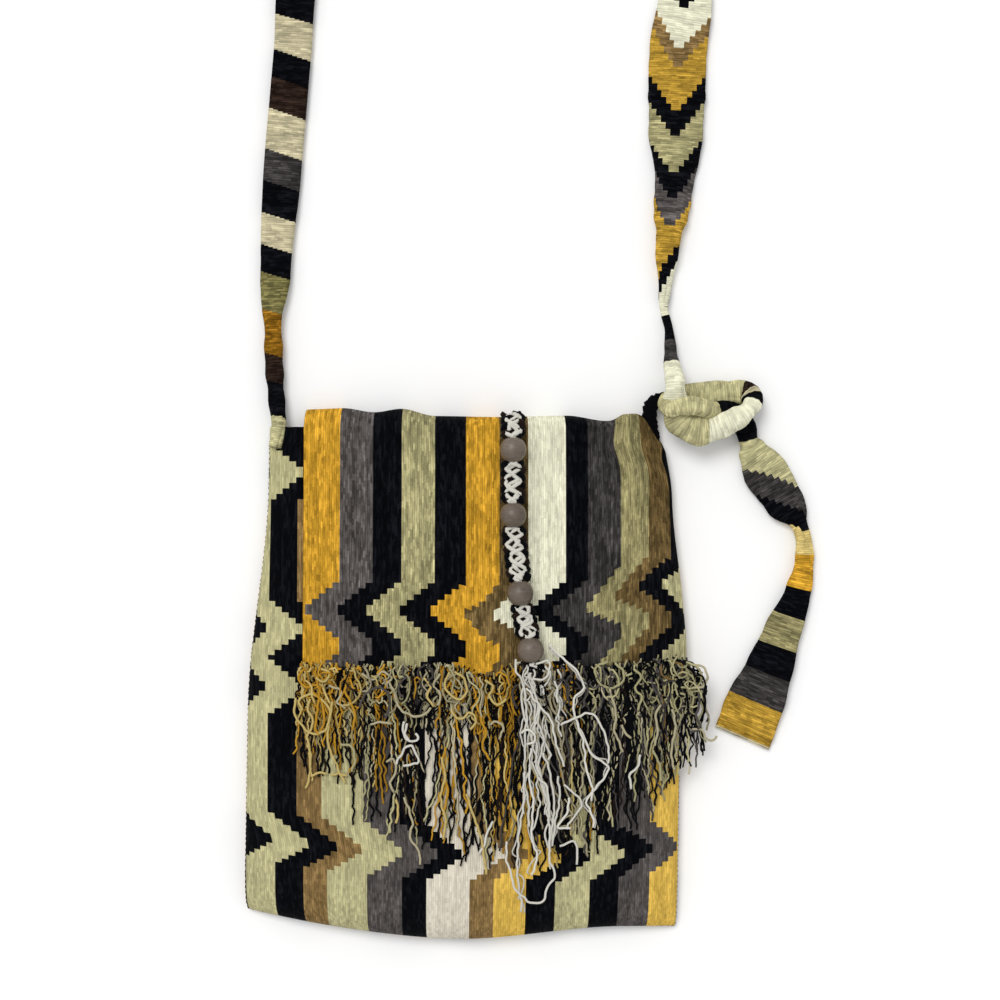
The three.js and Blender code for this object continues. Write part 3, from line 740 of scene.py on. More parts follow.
class BAG_OT_back_and_flap(bpy.types.Operator):
    """The one cloth that is the back, the fold and the flap"""

    bl_idname = "bag.back_and_flap"
    bl_label = "Back and flap"

    def execute(self, context):
        half = math.pi / 2
        # Where along the cloth the back ends, and where the fold ends
        back, fold = 0.44, 0.54
        # Length of the fold along the cloth
        over_fold = 34
        table = girth(lambda angle: flap_point(angle, FLAP_READ_Y, FLAP_OUTER), FLAP_LEFT, FLAP_RIGHT)
        start = read_off(table, FLAP_EDGE_X)
        rows = {}

        def left_angle(y):
            """The flap's left edge hangs straight down, while the front widens."""
            return math.asin((FLAP_EDGE_X - middle_x(y)) / (edge_x(y, -1) - CLOTH + FLAP_OUTER))

        def corner(u):
            """How far the flap's right upper corner is drawn down."""
            return 9 * smooth(u, 0.8, 1) ** 1.6

        def back_point(u, t):
            run_in = smooth(t, 0.77, 1)
            angle = lerp(lerp(-half, left_angle(MOUTH_Y), run_in), lerp(half, FLAP_RIGHT, run_in), u)
            bottom = 0.2
            if t < bottom:
                point = front_point(angle, t / bottom * half, ROUND_Y, CLOTH)
                return Vector((point.x, point.y, 0))
            y = lerp(ROUND_Y, FOLD_Y - corner(u), (t - bottom) / (1 - bottom))
            point = front_point(angle, half, y, CLOTH)
            return Vector((middle_x(y) + edge_x(y, angle) * math.sin(angle), point.y, 0))

        def on_flap(u, t):
            low = hem(flap_point(lerp(left_angle(HEM_Y), FLAP_RIGHT, u), HEM_Y, FLAP_OUTER).x)
            y = lerp(MOUTH_Y - corner(u), low, t)
            return flap_point(lerp(left_angle(y), FLAP_RIGHT, u), y, FLAP_OUTER)

        def place(u, v):
            if v <= back:
                return back_point(u, v / back)
            if v >= fold:
                return on_flap(u, (v - fold) / (1 - fold))
            over = (v - back) / (fold - back)
            turn = over * math.pi
            top = on_flap(u, 0)
            below = back_point(u, 1)
            depth = FOLD_DEPTH * lerp(1, 0.3, smooth(u, 0.9, 1))
            depth = max(depth - between(top.x, FOLD_EDGE), 0.1 * depth)
            return Vector(
                (
                    lerp(below.x, top.x, over),
                    lerp(below.y, top.y, over) + depth * math.sin(turn),
                    lerp(0, top.z, (1 - math.cos(turn)) / 2),
                )
            )

        def coordinate(u, v):
            if v >= fold:
                y = lerp(MOUTH_Y, HEM_Y, (v - fold) / (1 - fold))
                along = y
            else:
                y = MOUTH_Y
                if v > back:
                    along = lerp(MOUTH_Y + over_fold, MOUTH_Y, (v - back) / (fold - back))
                else:
                    along = lerp(MOUTH_Y + over_fold + BAG_HEIGHT, MOUTH_Y + over_fold, v / back)
            if y not in rows:
                rows[y] = girth(lambda angle: flap_point(angle, y, FLAP_OUTER), left_angle(y), FLAP_RIGHT)
            x = flap_point(lerp(left_angle(y), FLAP_RIGHT, u), y, FLAP_OUTER).x
            return read_off(rows[y], x) * MM, (along - 15 * smooth(x, 62, 112)) * MM

        stripes = [(read_off(table, x) - start, colour) for x, colour in FLAP_STRIPES]
        stripes.insert(0, (-40, "sage"))
        upper = [MOUTH_Y + over_fold + rise for rise in (60, 105, 150, 240)]
        material = cotton_stripes("warp-faced cotton flap", stripes, (*FLAP_TEETH, *upper), 1, 1.18)
        piece = grid_cloth("back_and_flap_cloth", 110, 190, place, coordinate, material, CLOTH * MM, 1)
        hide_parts("back_panel_with_flap")
        return {"FINISHED"}


# Strap

LEFT = Vector((middle_x(MOUTH_Y) - TOP_WIDTH / 2, MOUTH_Y, 0))
RIGHT = Vector((middle_x(MOUTH_Y) + TOP_WIDTH / 2, MOUTH_Y, 0))
STRAP_RUN = 262
STRAP_ARCH = 128
KNOT_THICK = 8
LOW = 2 + 2 * SEAT + KNOT_THICK / 2
MIDDLE = LOW + KNOT_THICK + SEAT + 2 + 2 * SEAT
HIGH = MIDDLE + KNOT_THICK + SEAT

# The band's route beside the mouth's corners, as in the part's source, in millimetres: across, along,
# middle height, width that shows, and how far its narrowing is a roll (1) or a fold to the back (0)
LEFT_RUN = [
    (2.6, -12, 12, 5.5, 1),
    (4.6, 1, 10, 6.5, 1),
    (3, 16, 6, 7.5, 1),
    (1.2, 44, 4.5, 10.5, 0.9),
    (1.6, 90, 2.8, 16.5, 0.2),
    (5, 150, 2.8, 19.5, 0),
    (11, 220, 2.8, 19.5, 0),
    (14, STRAP_RUN, 2.4, 20, 0),
]
RIGHT_RUN = [
    (12, STRAP_RUN, 1.8, 29, 0.3),
    (8.5, 220, 1.6, 32, 0.3),
    (7, 175, 1.6, 30, 0.4),
    (4.5, 138, 3, 21, 0.9),
    (1, 104, 4.2, 11.5, 1),
    (0, 86, 4.4, 6, 1),
    (-0.8, 70, 4.6, 2.6, 1),
    (2, 58, 5, 2.8, 1),
    (2.9, 47, 6.6, 5, 1),
]
KNOT = [
    (3.2, 37, 10, 7),
    (4.5, 26, MIDDLE, 9.5),
    (5, 13, MIDDLE, 13),
    (8.5, 3, MIDDLE + 1, 16.5),
    (16.5, -1.3, MIDDLE + 1, 16.5),
    (28, -0.5, MIDDLE, 14),
    (38, 3.5, MIDDLE, 11.5),
    (46.5, 9, MIDDLE - 2, 8.5),
    (50.5, 15, (MIDDLE + LOW) / 2, 9.5),
    (47, 20, LOW + 1, 12),
    (37, 20, LOW, 12.5),
    (26, 19.5, LOW, 12.5),
    (12, 19, LOW, 10.5),
    (4, 17, LOW + 2, 9),
    (-0.3, 13, MIDDLE, 8),
    (1.4, 9.8, HIGH - 1, 7),
    (6.8, 10.8, HIGH, 7.5),
    (13.6, 11.8, HIGH, 8.5),
    (20.5, 10.6, HIGH - 2.5, 8.5),
    (27, 9, MIDDLE - 1, 8.5),
    (34, 9.5, MIDDLE - 6, 9.5),
    (41, 7, LOW + 1, 10),
    (46.5, 0, LOW - 1, 10.5),
]
TAIL = [
    (48, -7, 5, 12, 0.8),
    (51, -14, 2.8, 17, 0.3),
    (59.4, -26, 2.8, 24, 0.1),
    (70.5, -44, 2.8, 21, 0.2),
    (79.6, -61, 3.4, 10.5, 0.8),
    (80.6, -78, 2.8, 13.5, 0.6),
    (76.7, -98, 2.4, 16.5, 0.4),
    (69.5, -120, 2, 19, 0),
    (61.8, -142, 1.6, 25, 0),
    (54.5, -160, 1.5, 31, 0),
    (45, -182, 1.4, 34, 0),
]

# Width of one step of the band's chevrons, in millimetres
BAND_STEP = 2.9
# Colours along the band, each from its place on the plan (millimetres up or down) to the next one's
LEFT_BANDS = [
    (120, "sage"),
    (146.5, "black"),
    (165, "umber"),
    (182, "amber"),
    (205.5, "olive"),
    (226.5, "black"),
    (243, "flax"),
    (261, "black"),
    (279, "slate"),
    (298, "flax"),
    (322, "umber"),
    (340, "black"),
    (356, "flax"),
    (378, "black"),
    (397, "ochre"),
]
RIGHT_BANDS = [
    (408, "umber"),
    (402, "black"),
    (386.5, "ivory"),
    (364.6, "brown"),
    (352, "gold"),
    (327, "black"),
    (312.4, "moss"),
    (290, "black"),
    (275, "grey"),
    (259, "gold"),
]
# Above the knot the band twists, so these run slantwise, and the last ones straight across
TWIST_Y = 247
NARROW_Y = 211
TWIST_BANDS = [(262, "gold"), (237, "black"), (225, "ivory"), (204, "black")]
NARROW_BANDS = [(225, "ivory"), (208, "black"), (193.5, "slate"), (174, "ivory")]
# Through the knot, from the stations of its route
KNOT_BANDS = [
    (2.3, "sage"),
    (4.6, "ivory"),
    (7.8, "black"),
    (8.3, "flax"),
    (8.7, "umber"),
    (9.2, "sage"),
    (19.1, "black"),
]
TAIL_BANDS = [
    (120, "slate"),
    (103, "black"),
    (84, "straw_and_highlight"),
    (69, "ochre"),
    (48, "black"),
    (31.5, "fern"),
    (13.5, "black"),
    (-1.5, "slate"),
    (-17, "gold"),
    (-38.4, "flax"),
]


class BAG_OT_strap(bpy.types.Operator):
    """The woven shoulder strap, its knot and its tail, as one band"""

    bl_idname = "bag.strap"
    bl_label = "Strap"

    def execute(self, context):
        full = sizes().strap_width / MM
        stations = [(LEFT.x + a, LEFT.y + b, *rest) for a, b, *rest in LEFT_RUN]
        right = [(RIGHT.x + a, RIGHT.y + b, *rest) for a, b, *rest in RIGHT_RUN]
        start, end = Vector(stations[-1][:2]), Vector(right[0][:2])
        middle = (start + end) / 2
        for part in (0.17, 0.33, 0.5, 0.67, 0.83):
            turn = math.pi * (1 - part)
            x = middle.x + (end.x - start.x) / 2 * math.cos(turn)
            stations.append((x, middle.y + STRAP_ARCH * math.sin(turn), 1.4, full, 0))
        top = len(stations) - 3
        first_right = len(stations)
        stations += right
        first_knot = len(stations)
        stations += [(RIGHT.x + a, RIGHT.y + b, *rest, 1) for a, b, *rest in KNOT]
        first_tail = len(stations)
        stations += [(RIGHT.x + a, RIGHT.y + b, *rest) for a, b, *rest in TAIL]

        # Width and roll ease from station to station, over the same number of points as the route has.
        step = 2.2  # millimetres between rows
        route = smooth_route([s[:3] for s in stations], step)
        spread, marks = [], []
        for a, b in zip(stations, stations[1:]):
            marks.append(len(spread))
            count = max(1, round((Vector(b[:3]) - Vector(a[:3])).length / step))
            for i in range(count):
                t = smooth(i / count, 0, 1)
                spread.append((lerp(a[3], b[3], t), lerp(a[4], b[4], t)))
        marks.append(len(spread))
        spread.append(stations[-1][3:5])
        reach = [0.0]
        for a, b in zip(route, route[1:]):
            reach.append(reach[-1] + (b - a).length)
        along = directions(route)
        rows = len(route) - 1
        sections = [self.section(full, *s) for s in spread]
        # No part of the band lies under the floor.
        thick = sizes().strap_cloth / MM / 2
        lows = []
        for point, lie in zip(route, sections):
            lows.append(point.z + min(lie(full * (c / 16 - 0.5))[1] for c in range(17)))
        lifts = [max(0.0, thick + 0.6 - low) for low in lows]

        def place(u, v):
            i = round(v * rows)
            c = (u - 0.5) * full
            x, z = sections[i](c)
            crease = noise.noise(Vector((c / 3.6, reach[i] / 22, 4.0))) * 1.5 * spread[i][1]
            crease += noise.noise(Vector((c / 11, reach[i] / 4.5, 9.0))) * 0.7 * spread[i][1]
            soft = noise.noise(Vector((c / 24, reach[i] / 40, 1.0))) * 0.8
            across = Vector((along[i].y, -along[i].x, 0)).normalized()
            up = across.cross(along[i])
            lump = 1 + 0.2 * spread[i][1] * noise.noise(Vector((2.0, reach[i] / 8, 5.0)))
            aside = across * (x * lump + 0.4 * soft)
            return route[i] + aside + up * (z + lifts[i] + crease + 0.5 * abs(soft))

        def coordinate(u, v):
            return (u - 0.5) * full * MM, reach[round(v * rows)] * MM

        def at(first, last, y):
            """Length along the band where it passes a height on the plan, between two stations."""
            low, high = marks[first], marks[last]
            return reach[min(range(low, high + 1), key=lambda i: abs(route[i].y - y))]

        left = [(at(0, top, y), colour) for y, colour in LEFT_BANDS]
        gap = (reach[marks[first_right]] - left[-1][0]) / 10
        arch = ["black", "sage", "brown", "cream", "black", "grey", "ochre", "umber", "sage"]
        left += [(left[-1][0] + gap * (i + 1), colour) for i, colour in enumerate(arch)]
        right, twist, narrow = [
            [(at(first_right, first_knot, y), colour) for y, colour in bands]
            for bands in (RIGHT_BANDS, TWIST_BANDS, NARROW_BANDS)
        ]
        knot = []
        for place_in, colour in KNOT_BANDS:
            low = first_knot + int(place_in)
            knot.append((lerp(reach[marks[low]], reach[marks[low + 1]], place_in % 1), colour))
        tail = [(reach[marks[first_tail]] - 40, "sage")]
        tail += [(at(first_tail, len(stations) - 1, y), colour) for y, colour in TAIL_BANDS]

        # How much each stretch's bands slant, and whether from the middle out or from side to side
        parts = [(left, 0.25, False), (right, 1.35, True), (twist, -1.6, False), (narrow, 0.0, False)]
        parts += [(knot, 0.1, False), (tail, 1.2, False), (tail, 0.0, False)]
        borders = [reach[marks[first_right]] - 60]
        borders += [at(first_right, first_knot, y) for y in (TWIST_Y, NARROW_Y)]
        borders += [reach[marks[i]] for i in (first_knot + 2, first_tail, first_tail + 4)]
        material = self.band_finish(parts, borders)
        piece = grid_cloth("strap_band", 30, rows, place, coordinate, material, sizes().strap_cloth, 0)
        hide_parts("strap")
        return {"FINISHED"}

    def section(self, full, width, rolled):
        """How a flat band of full width lies where only width shows: a fold to the back, or a roll."""
        share = width / full
        if share > 2 / math.pi:
            low, high = 0.001, 0.5
            for _ in range(24):
                turn = (low + high) / 2
                wide = math.sin(math.pi * turn) / (math.pi * turn) > share
                low, high = (turn, high) if wide else (low, turn)
        else:
            turn = min(1 / (math.pi * share), 1.1)
        radius = full / (2 * math.pi * turn)
        scale = width / (2 * radius) if turn >= 0.5 else 1.0
        deep = radius * (1 - math.cos(math.pi * turn)) * scale
        flatten = min(0.72, KNOT_THICK / max(deep, 1e-6)) * smooth(turn, 0.02, 0.4)
        bend = 1.5
        spare = full - width
        edge = full / 2 - spare
        middle = (edge - full / 2) / 2

        def lie(c):
            rolled_x = radius * math.sin(c / radius) * scale
            rolled_z = (radius * math.cos(c / radius) - radius) * scale * flatten + deep * flatten / 2
            over = c - edge
            x, z = c - middle, 0.0
            if over > 0 and spare > 0.5:
                round_it = min(over / bend, math.pi)
                x = edge - middle + bend * math.sin(round_it) - max(over - math.pi * bend, 0)
                z = -bend * (1 - math.cos(round_it))
            z += bend if spare > 0.5 else 0.0
            return lerp(x, rolled_x, rolled), lerp(z, rolled_z, rolled)

        return lie

    def band_finish(self, parts, borders):
        """Cotton tapestry band, weft-faced: matt, ribbed across, with stepped chevrons and soft streaks."""
        material, tree, shader = new_material("weft-faced cotton band", 0.95, 0.0)
        across, along = cloth_coordinates(tree)
        half = add_node(tree, "ShaderNodeMath", {0: across}, operation="ABSOLUTE").outputs[0]
        colour = None
        for (bands, slant, chevron), border in zip(parts, [None, *borders]):
            side = half if chevron else across
            stepped = add_node(tree, "ShaderNodeMath", {0: side, 1: BAND_STEP}, operation="SNAP").outputs[0]
            place = add_node(
                tree, "ShaderNodeMath", {0: stepped, 1: slant, 2: along}, operation="MULTIPLY_ADD"
            ).outputs[0]
            first, last = bands[0][0] - 30, bands[-1][0] + 30
            share = add_node(
                tree, "ShaderNodeMapRange", {0: place, 1: first, 2: last, 3: 0.0, 4: 1.0}
            ).outputs[0]
            ramp = add_node(tree, "ShaderNodeValToRGB", {0: share})
            set_ramp(ramp, [((s - first) / (last - first), yarn_colour(c)) for s, c in bands])
            if colour is None:
                colour = ramp.outputs[0]
            else:
                past = add_node(
                    tree, "ShaderNodeMath", {0: along, 1: border}, operation="GREATER_THAN"
                ).outputs[0]
                colour = add_node(
                    tree, "ShaderNodeMix", {0: past, 6: colour, 7: ramp.outputs[0]}, data_type="RGBA"
                ).outputs[2]
        woven_finish(tree, shader, colour, along, across, 1.25)
        return material


class BAG_OT_corner_loop(bpy.types.Operator):
    """The black woven loop on the side seam that the strap is knotted through"""

    bl_idname = "bag.corner_loop"
    bl_label = "Corner loop"

    def execute(self, context):
        places = [
            (-6, -15, 5.2),
            (-8, -4, 6),
            (-9.5, 7, 8),
            (-8, 13.5, 9),
            (-2, 18, 7),
            (3, 20, 3.4),
            (5, 23, 2.2),
            (5.5, 27.5, 4),
            (5.5, 27.5, 9),
            (5.5, 23, 11.6),
            (5, 17, 11),
            (4.5, 13.5, 7.5),
            (4, 16, 2.8),
            (4.5, 21, 2),
        ]
        step = 1.2  # millimetres between rings
        route = smooth_route([RIGHT + Vector(p) for p in places], step)

        def ply(t):
            """A ply's radius, which is less where the loop ties the strap."""
            return lerp(1.65, 0.9, smooth(t, 0.34, 0.5))

        bm = bmesh.new()
        for strand in range(3):
            weave = []
            for i, (point, along) in enumerate(zip(route, directions(route))):
                side = along.cross(Vector((0.2, 0.1, 1))).normalized()
                phase = 2 * math.pi * (i * step / 9 + strand / 3)
                lift = side.cross(along)
                wide = lerp(3.3, 1.1, smooth(i / len(route), 0.34, 0.5))
                weave.append(point + side * wide * math.sin(phase) + lift * 0.25 * wide * math.sin(2 * phase))
            add_tube(bm, weave, ply, 6, YARNS.index("black"), 0.2 + 0.2 * strand)
        piece = finish_mesh("corner_loop_tab", bm, yarns())
        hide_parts("corner_loop")
        return {"FINISHED"}


# Length of the edge that one stitch takes, and the radius of its thread, in millimetres
STITCH = 3.1
STITCH_THREAD = 0.24


class BAG_OT_seam(bpy.types.Operator):
    """Slanted whip stitches that join the front to the back"""

    bl_idname = "bag.seam"
    bl_label = "Seam"

    def execute(self, context):
        half = math.pi / 2

        def at(angle, turn, y):
            """The front's edge, and a place on its cloth a stitch above that."""
            held = front_point(clamp(angle, 0.02 - half, half - 0.02), max(turn, 0.02), y, CLOTH)
            return front_point(angle, turn, y, CLOTH), held

        sides = []
        for side in (-half, half):
            rows = [at(side, half, lerp(MOUTH_Y - 6, ROUND_Y, i / 100)) for i in range(100)]
            sides.append(rows + [at(side, half * (1 - i / 24), ROUND_Y) for i in range(24)])
        low = [at(lerp(-half, half, i / 96), 0, ROUND_Y) for i in range(97)]
        line = sides[0] + low + sides[1][::-1]
        edge = smooth_route([place for place, _ in line], 1.0)
        held = smooth_route([place for _, place in line], 1.0)
        bm = bmesh.new()
        rng = random.Random(7)
        ways = directions(edge)
        reach, due = 0.0, 2.0
        for i in range(1, len(edge)):
            reach += (edge[i] - edge[i - 1]).length
            if reach < due:
                continue
            due += STITCH + rng.uniform(-0.3, 0.3)
            out = Vector((ways[i].y, -ways[i].x, 0)).normalized()
            shift = ways[i] * 1.3
            near = range(max(i - 9, 0), min(i + 10, len(held)))
            upper = held[min(near, key=lambda j: (held[j] - edge[i]).length)]
            base = Vector((edge[i].x, edge[i].y, 0))
            arc = [
                upper + shift - out * 0.3 + Vector((0, 0, 0.3)),
                upper + shift * 0.7 + out * 0.1,
                base + out * 0.1 + Vector((0, 0, 2.6)),
                base + out * 0.1 - shift * 0.3 + Vector((0, 0, 1.4)),
                base - out * 0.9 - shift * 0.6 + Vector((0, 0, 0.5)),
                base - out * 2.6 - shift + Vector((0, 0, 0.5)),
            ]
            add_tube(bm, smooth_route(arc, 1.2), STITCH_THREAD, 5, YARNS.index("black"), rng.random())
        piece = finish_mesh("seam_stitches", bm, yarns())
        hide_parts("seam_thread")
        return {"FINISHED"}


# Ornament: bead places on the plan, as in the part's source

BEADS = [(28.3, 128.4), (28.3, 90.9), (32.3, 46.4), (38.1, 14.1)]
BEAD_WIDTH = 15.2
BEAD_HEIGHT = 11.6
BEAD_BORE = 4.8


def bead_height(x, y):
    """Height of a bead's middle, where it rests on the flap."""
    return flap_top(x, y) + SEAT + BEAD_WIDTH / 2


class BAG_OT_beads(bpy.types.Operator):
    """The four turned seed beads on the braid"""

    bl_idname = "bag.beads"
    bl_label = "Beads"

    def execute(self, context):
        material = seed_bead_finish()
        for number, (x, y) in enumerate(BEADS, 1):
            bm = bmesh.new()
            bore, girth_mm, half = BEAD_BORE / 2, BEAD_WIDTH / 2, BEAD_HEIGHT * 0.6
            profile = [(bore, -half * 0.4), (bore, half * 0.4), (bore + 0.3, half * 0.9)]
            for i in range(13):
                turn = math.radians(lerp(66, -66, i / 12))
                profile.append((girth_mm * math.cos(turn) ** 0.9, half * math.sin(turn) / 0.93))
            profile.append((bore + 0.3, -half * 0.9))
            verts = [bm.verts.new((r, h, 0)) for r, h in profile]
            edges = [bm.edges.new(pair) for pair in zip(verts, [*verts[1:], verts[0]])]
            bmesh.ops.spin(
                bm,
                geom=verts + edges,
                cent=(0, 0, 0),
                axis=(0, 1, 0),
                angle=2 * math.pi,
                steps=40,
                use_merge=True,
            )
            bmesh.ops.recalc_face_normals(bm, faces=bm.faces)
            centre = Vector((x, y, bead_height(x, y)))
            for vert in bm.verts:
                vert.co = (vert.co + centre) * MM
            piece = finish_mesh(f"bead_{number}", bm, [material])
            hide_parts(f"ornament_bead_{number}")
        return {"FINISHED"}


class BAG_OT_braid(bpy.types.Operator):
    """The flat black and white plait that the beads are strung on"""

    bl_idname = "bag.braid"
    bl_label = "Braid"

    def execute(self, context):
        (x1, y1), (x2, y2), (x3, y3), (x4, y4) = BEADS
        plan = [(x1, 149.5), (x1, 146), (x1, 140), (x1, y1), (x1, 110), (x2, y2), (x2 + 1, 75), (x3 - 1, 58)]
        plan += [(x3, y3), (x3 + 2.6, 32), (x4, y4), (x4 + 1, 4)]
        plan = [Vector((v.x, v.y, 0)) for v in smooth_route([(x, y, 0) for x, y in plan], 1.0)]
        middle, squeeze = [], []
        tight = 0.32  # share of the braid's width that is left inside a bead
        for point in plan:
            near = min(abs(point.y - y) for _, y in BEADS)
            x_bead, y_bead = min(BEADS, key=lambda bead: abs(point.y - bead[1]))
            lying = flap_top(point.x, min(point.y, 141)) + 2.6
            lying -= 9 * smooth(point.y, 142, 150)
            share = 1 - smooth(near, 5.2, 13)
            middle.append(Vector((point.x, point.y, lerp(lying, bead_height(x_bead, y_bead), share))))
            squeeze.append(lerp(1, tight, 1 - smooth(near, 5, 8.5)))

        def ply(t):
            """A black ply's radius, which is less inside a bead."""
            loose = (squeeze[round(t * (len(squeeze) - 1))] - tight) / (1 - tight)
            return 2.1 * lerp(0.5, 1, loose)

        bm = bmesh.new()
        for strand in range(3):
            weave = []
            for i, point in enumerate(middle):
                phase = 2 * math.pi * (i / 13 + strand / 3)
                sway = Vector((5.5 * math.sin(phase), 0, 1.1 * math.sin(2 * phase)))
                weave.append(point + sway * squeeze[i])
            add_tube(bm, weave, ply, 7, YARNS.index("umber" if strand == 2 else "black"), 0.2)
        # White yarns wander over the black plait.
        for strand in range(3):
            wave, reach = (14.5, 4.1) if strand < 2 else (9.0, 2.2)
            weave = []
            for i, point in enumerate(middle):
                phase = 2 * math.pi * (i / wave + strand / 2)
                phase += 1.3 * noise.noise(Vector((i / 8, strand * 4, 6)))
                lost = noise.noise(Vector((i / 3.1, strand * 9, 2)))
                over = 2.6 + 0.8 * math.cos(2 * phase + strand)
                sway = Vector((reach * math.sin(phase) + 1.8 * lost, 0, over))
                weave.append(point + sway * (squeeze[i] if squeeze[i] > 0.9 else squeeze[i] * 0.6))
            add_tube(bm, weave, 1.25, 6, YARNS.index("white"), 0.62)
        piece = finish_mesh("ornament_plait", bm, yarns())
        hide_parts("ornament_braid")
        return {"FINISHED"}


def pile_height(x, y):
    """Top of the cloth that loose yarn lies on: the flap down to its hem, then the front."""
    x = min(x, 117)
    over = smooth(y, hem(x) - 9, hem(x) - 1)
    return lerp(front_top(x, y), flap_top(x, max(y, hem(x))), over)


def loose_yarn(rng, x0, fall, heading, drift, rise):
    """A route for one yarn from the hem: curls, then a kinked fall, rise millimetres above the cloth."""
    seed = Vector((rng.random() * 90, rng.random() * 90, rng.random() * 90))
    start = rng.uniform(0, 2 * math.pi)
    spin = rng.choice((-1, 1)) * rng.uniform(0.22, 0.5)
    curl = rng.uniform(1.8, 4) if heading else rng.uniform(1, 3)
    drift = rng.gauss(drift, 0.09)
    lift = rng.uniform(1, 6.5) if heading else rng.uniform(0.6, 4.5)
    start_up = rng.uniform(-1.5, 3.5)
    if heading:
        start_up += rng.uniform(0, 3 + 3 * smooth(x0, 70, 110)) ** 2 / 6
    route = []
    for i in range(int(fall / 1.5) + 2):
        s = i * 1.5
        held = smooth(s, 0, 5)
        loop = curl * held * (1 - smooth(s, 16, 40)) * (1 + 1.1 * noise.noise(Vector((s / 8, 3, 0)) + seed))
        turn = start + spin * s + 2.2 * noise.noise(Vector((s / 9, 0, 5)) + seed)
        kink = noise.noise_vector(Vector((s / 4.5, 0, 0)) + seed)
        sway = noise.noise(Vector((s / 26, 7, 0)) + seed) * 3.6 * smooth(s, 4, 40)
        x = x0 + drift * s + loop * math.cos(turn) + kink.x * 2 * held + sway
        y = hem(x0) + start_up - s * 0.97 + loop * math.sin(turn) + kink.y * 1.6 * held
        pile = lift * lerp(0.25, 1, 1 - smooth(s, 12, 44)) + loop * 0.35 * math.sin(2 * turn)
        z = pile_height(x, y) + 0.6 + rise + max(pile, 0)
        route.append(Vector((x, y, z)))
    return route


# White yarns of the tassel, traced on the plan in millimetres: each is (column, row) in the picture
TASSEL_LOOPS = [
    [(547, 642), (562, 657), (576, 669), (583, 685), (573, 697), (574, 716), (583, 736), (593, 754)]
    + [(607, 764), (604, 776), (591, 790), (586, 800), (591, 812), (593, 826)],
    [(560, 722), (574, 716), (586, 711), (597, 717), (604, 733), (608, 750), (607, 762)],
    [(576, 721), (583, 743), (586, 771), (591, 786), (590, 798)],
    [(516, 657), (516, 669), (524, 685), (526, 723), (524, 750), (525, 778), (523, 812)],
    [(526, 685), (538, 702), (550, 717), (554, 736), (559, 752), (564, 764)],
    [(538, 774), (547, 788), (548, 812), (550, 840), (548, 853), (554, 872), (547, 884), (543, 898)]
    + [(530, 900), (516, 886), (509, 865), (507, 855), (506, 838)],
    [(524, 771), (523, 805), (519, 829), (518, 881), (521, 898), (520, 909)],
    [(557, 774), (559, 795), (555, 819), (552, 843)],
    [(569, 795), (566, 812), (557, 824), (571, 826)],
    [(559, 843), (574, 840), (576, 862)],
    [(536, 662), (547, 659), (547, 674), (530, 678)],
    [(555, 678), (557, 700)],
    [(531, 745), (528, 772), (533, 800), (531, 830), (536, 852), (532, 872)],
    [(543, 750), (551, 776), (553, 806), (551, 838)],
    [(521, 730), (527, 727), (534, 731), (533, 740), (526, 742)],
    [(563, 782), (573, 790), (581, 801), (572, 815), (566, 827)],
]


# Its other yarns: how many hang, how many curl under the bead, and which of the hanging ones are white
TASSEL_STRANDS = 56
TASSEL_CURLS = 36
TASSEL_WHITE_EVERY = 5


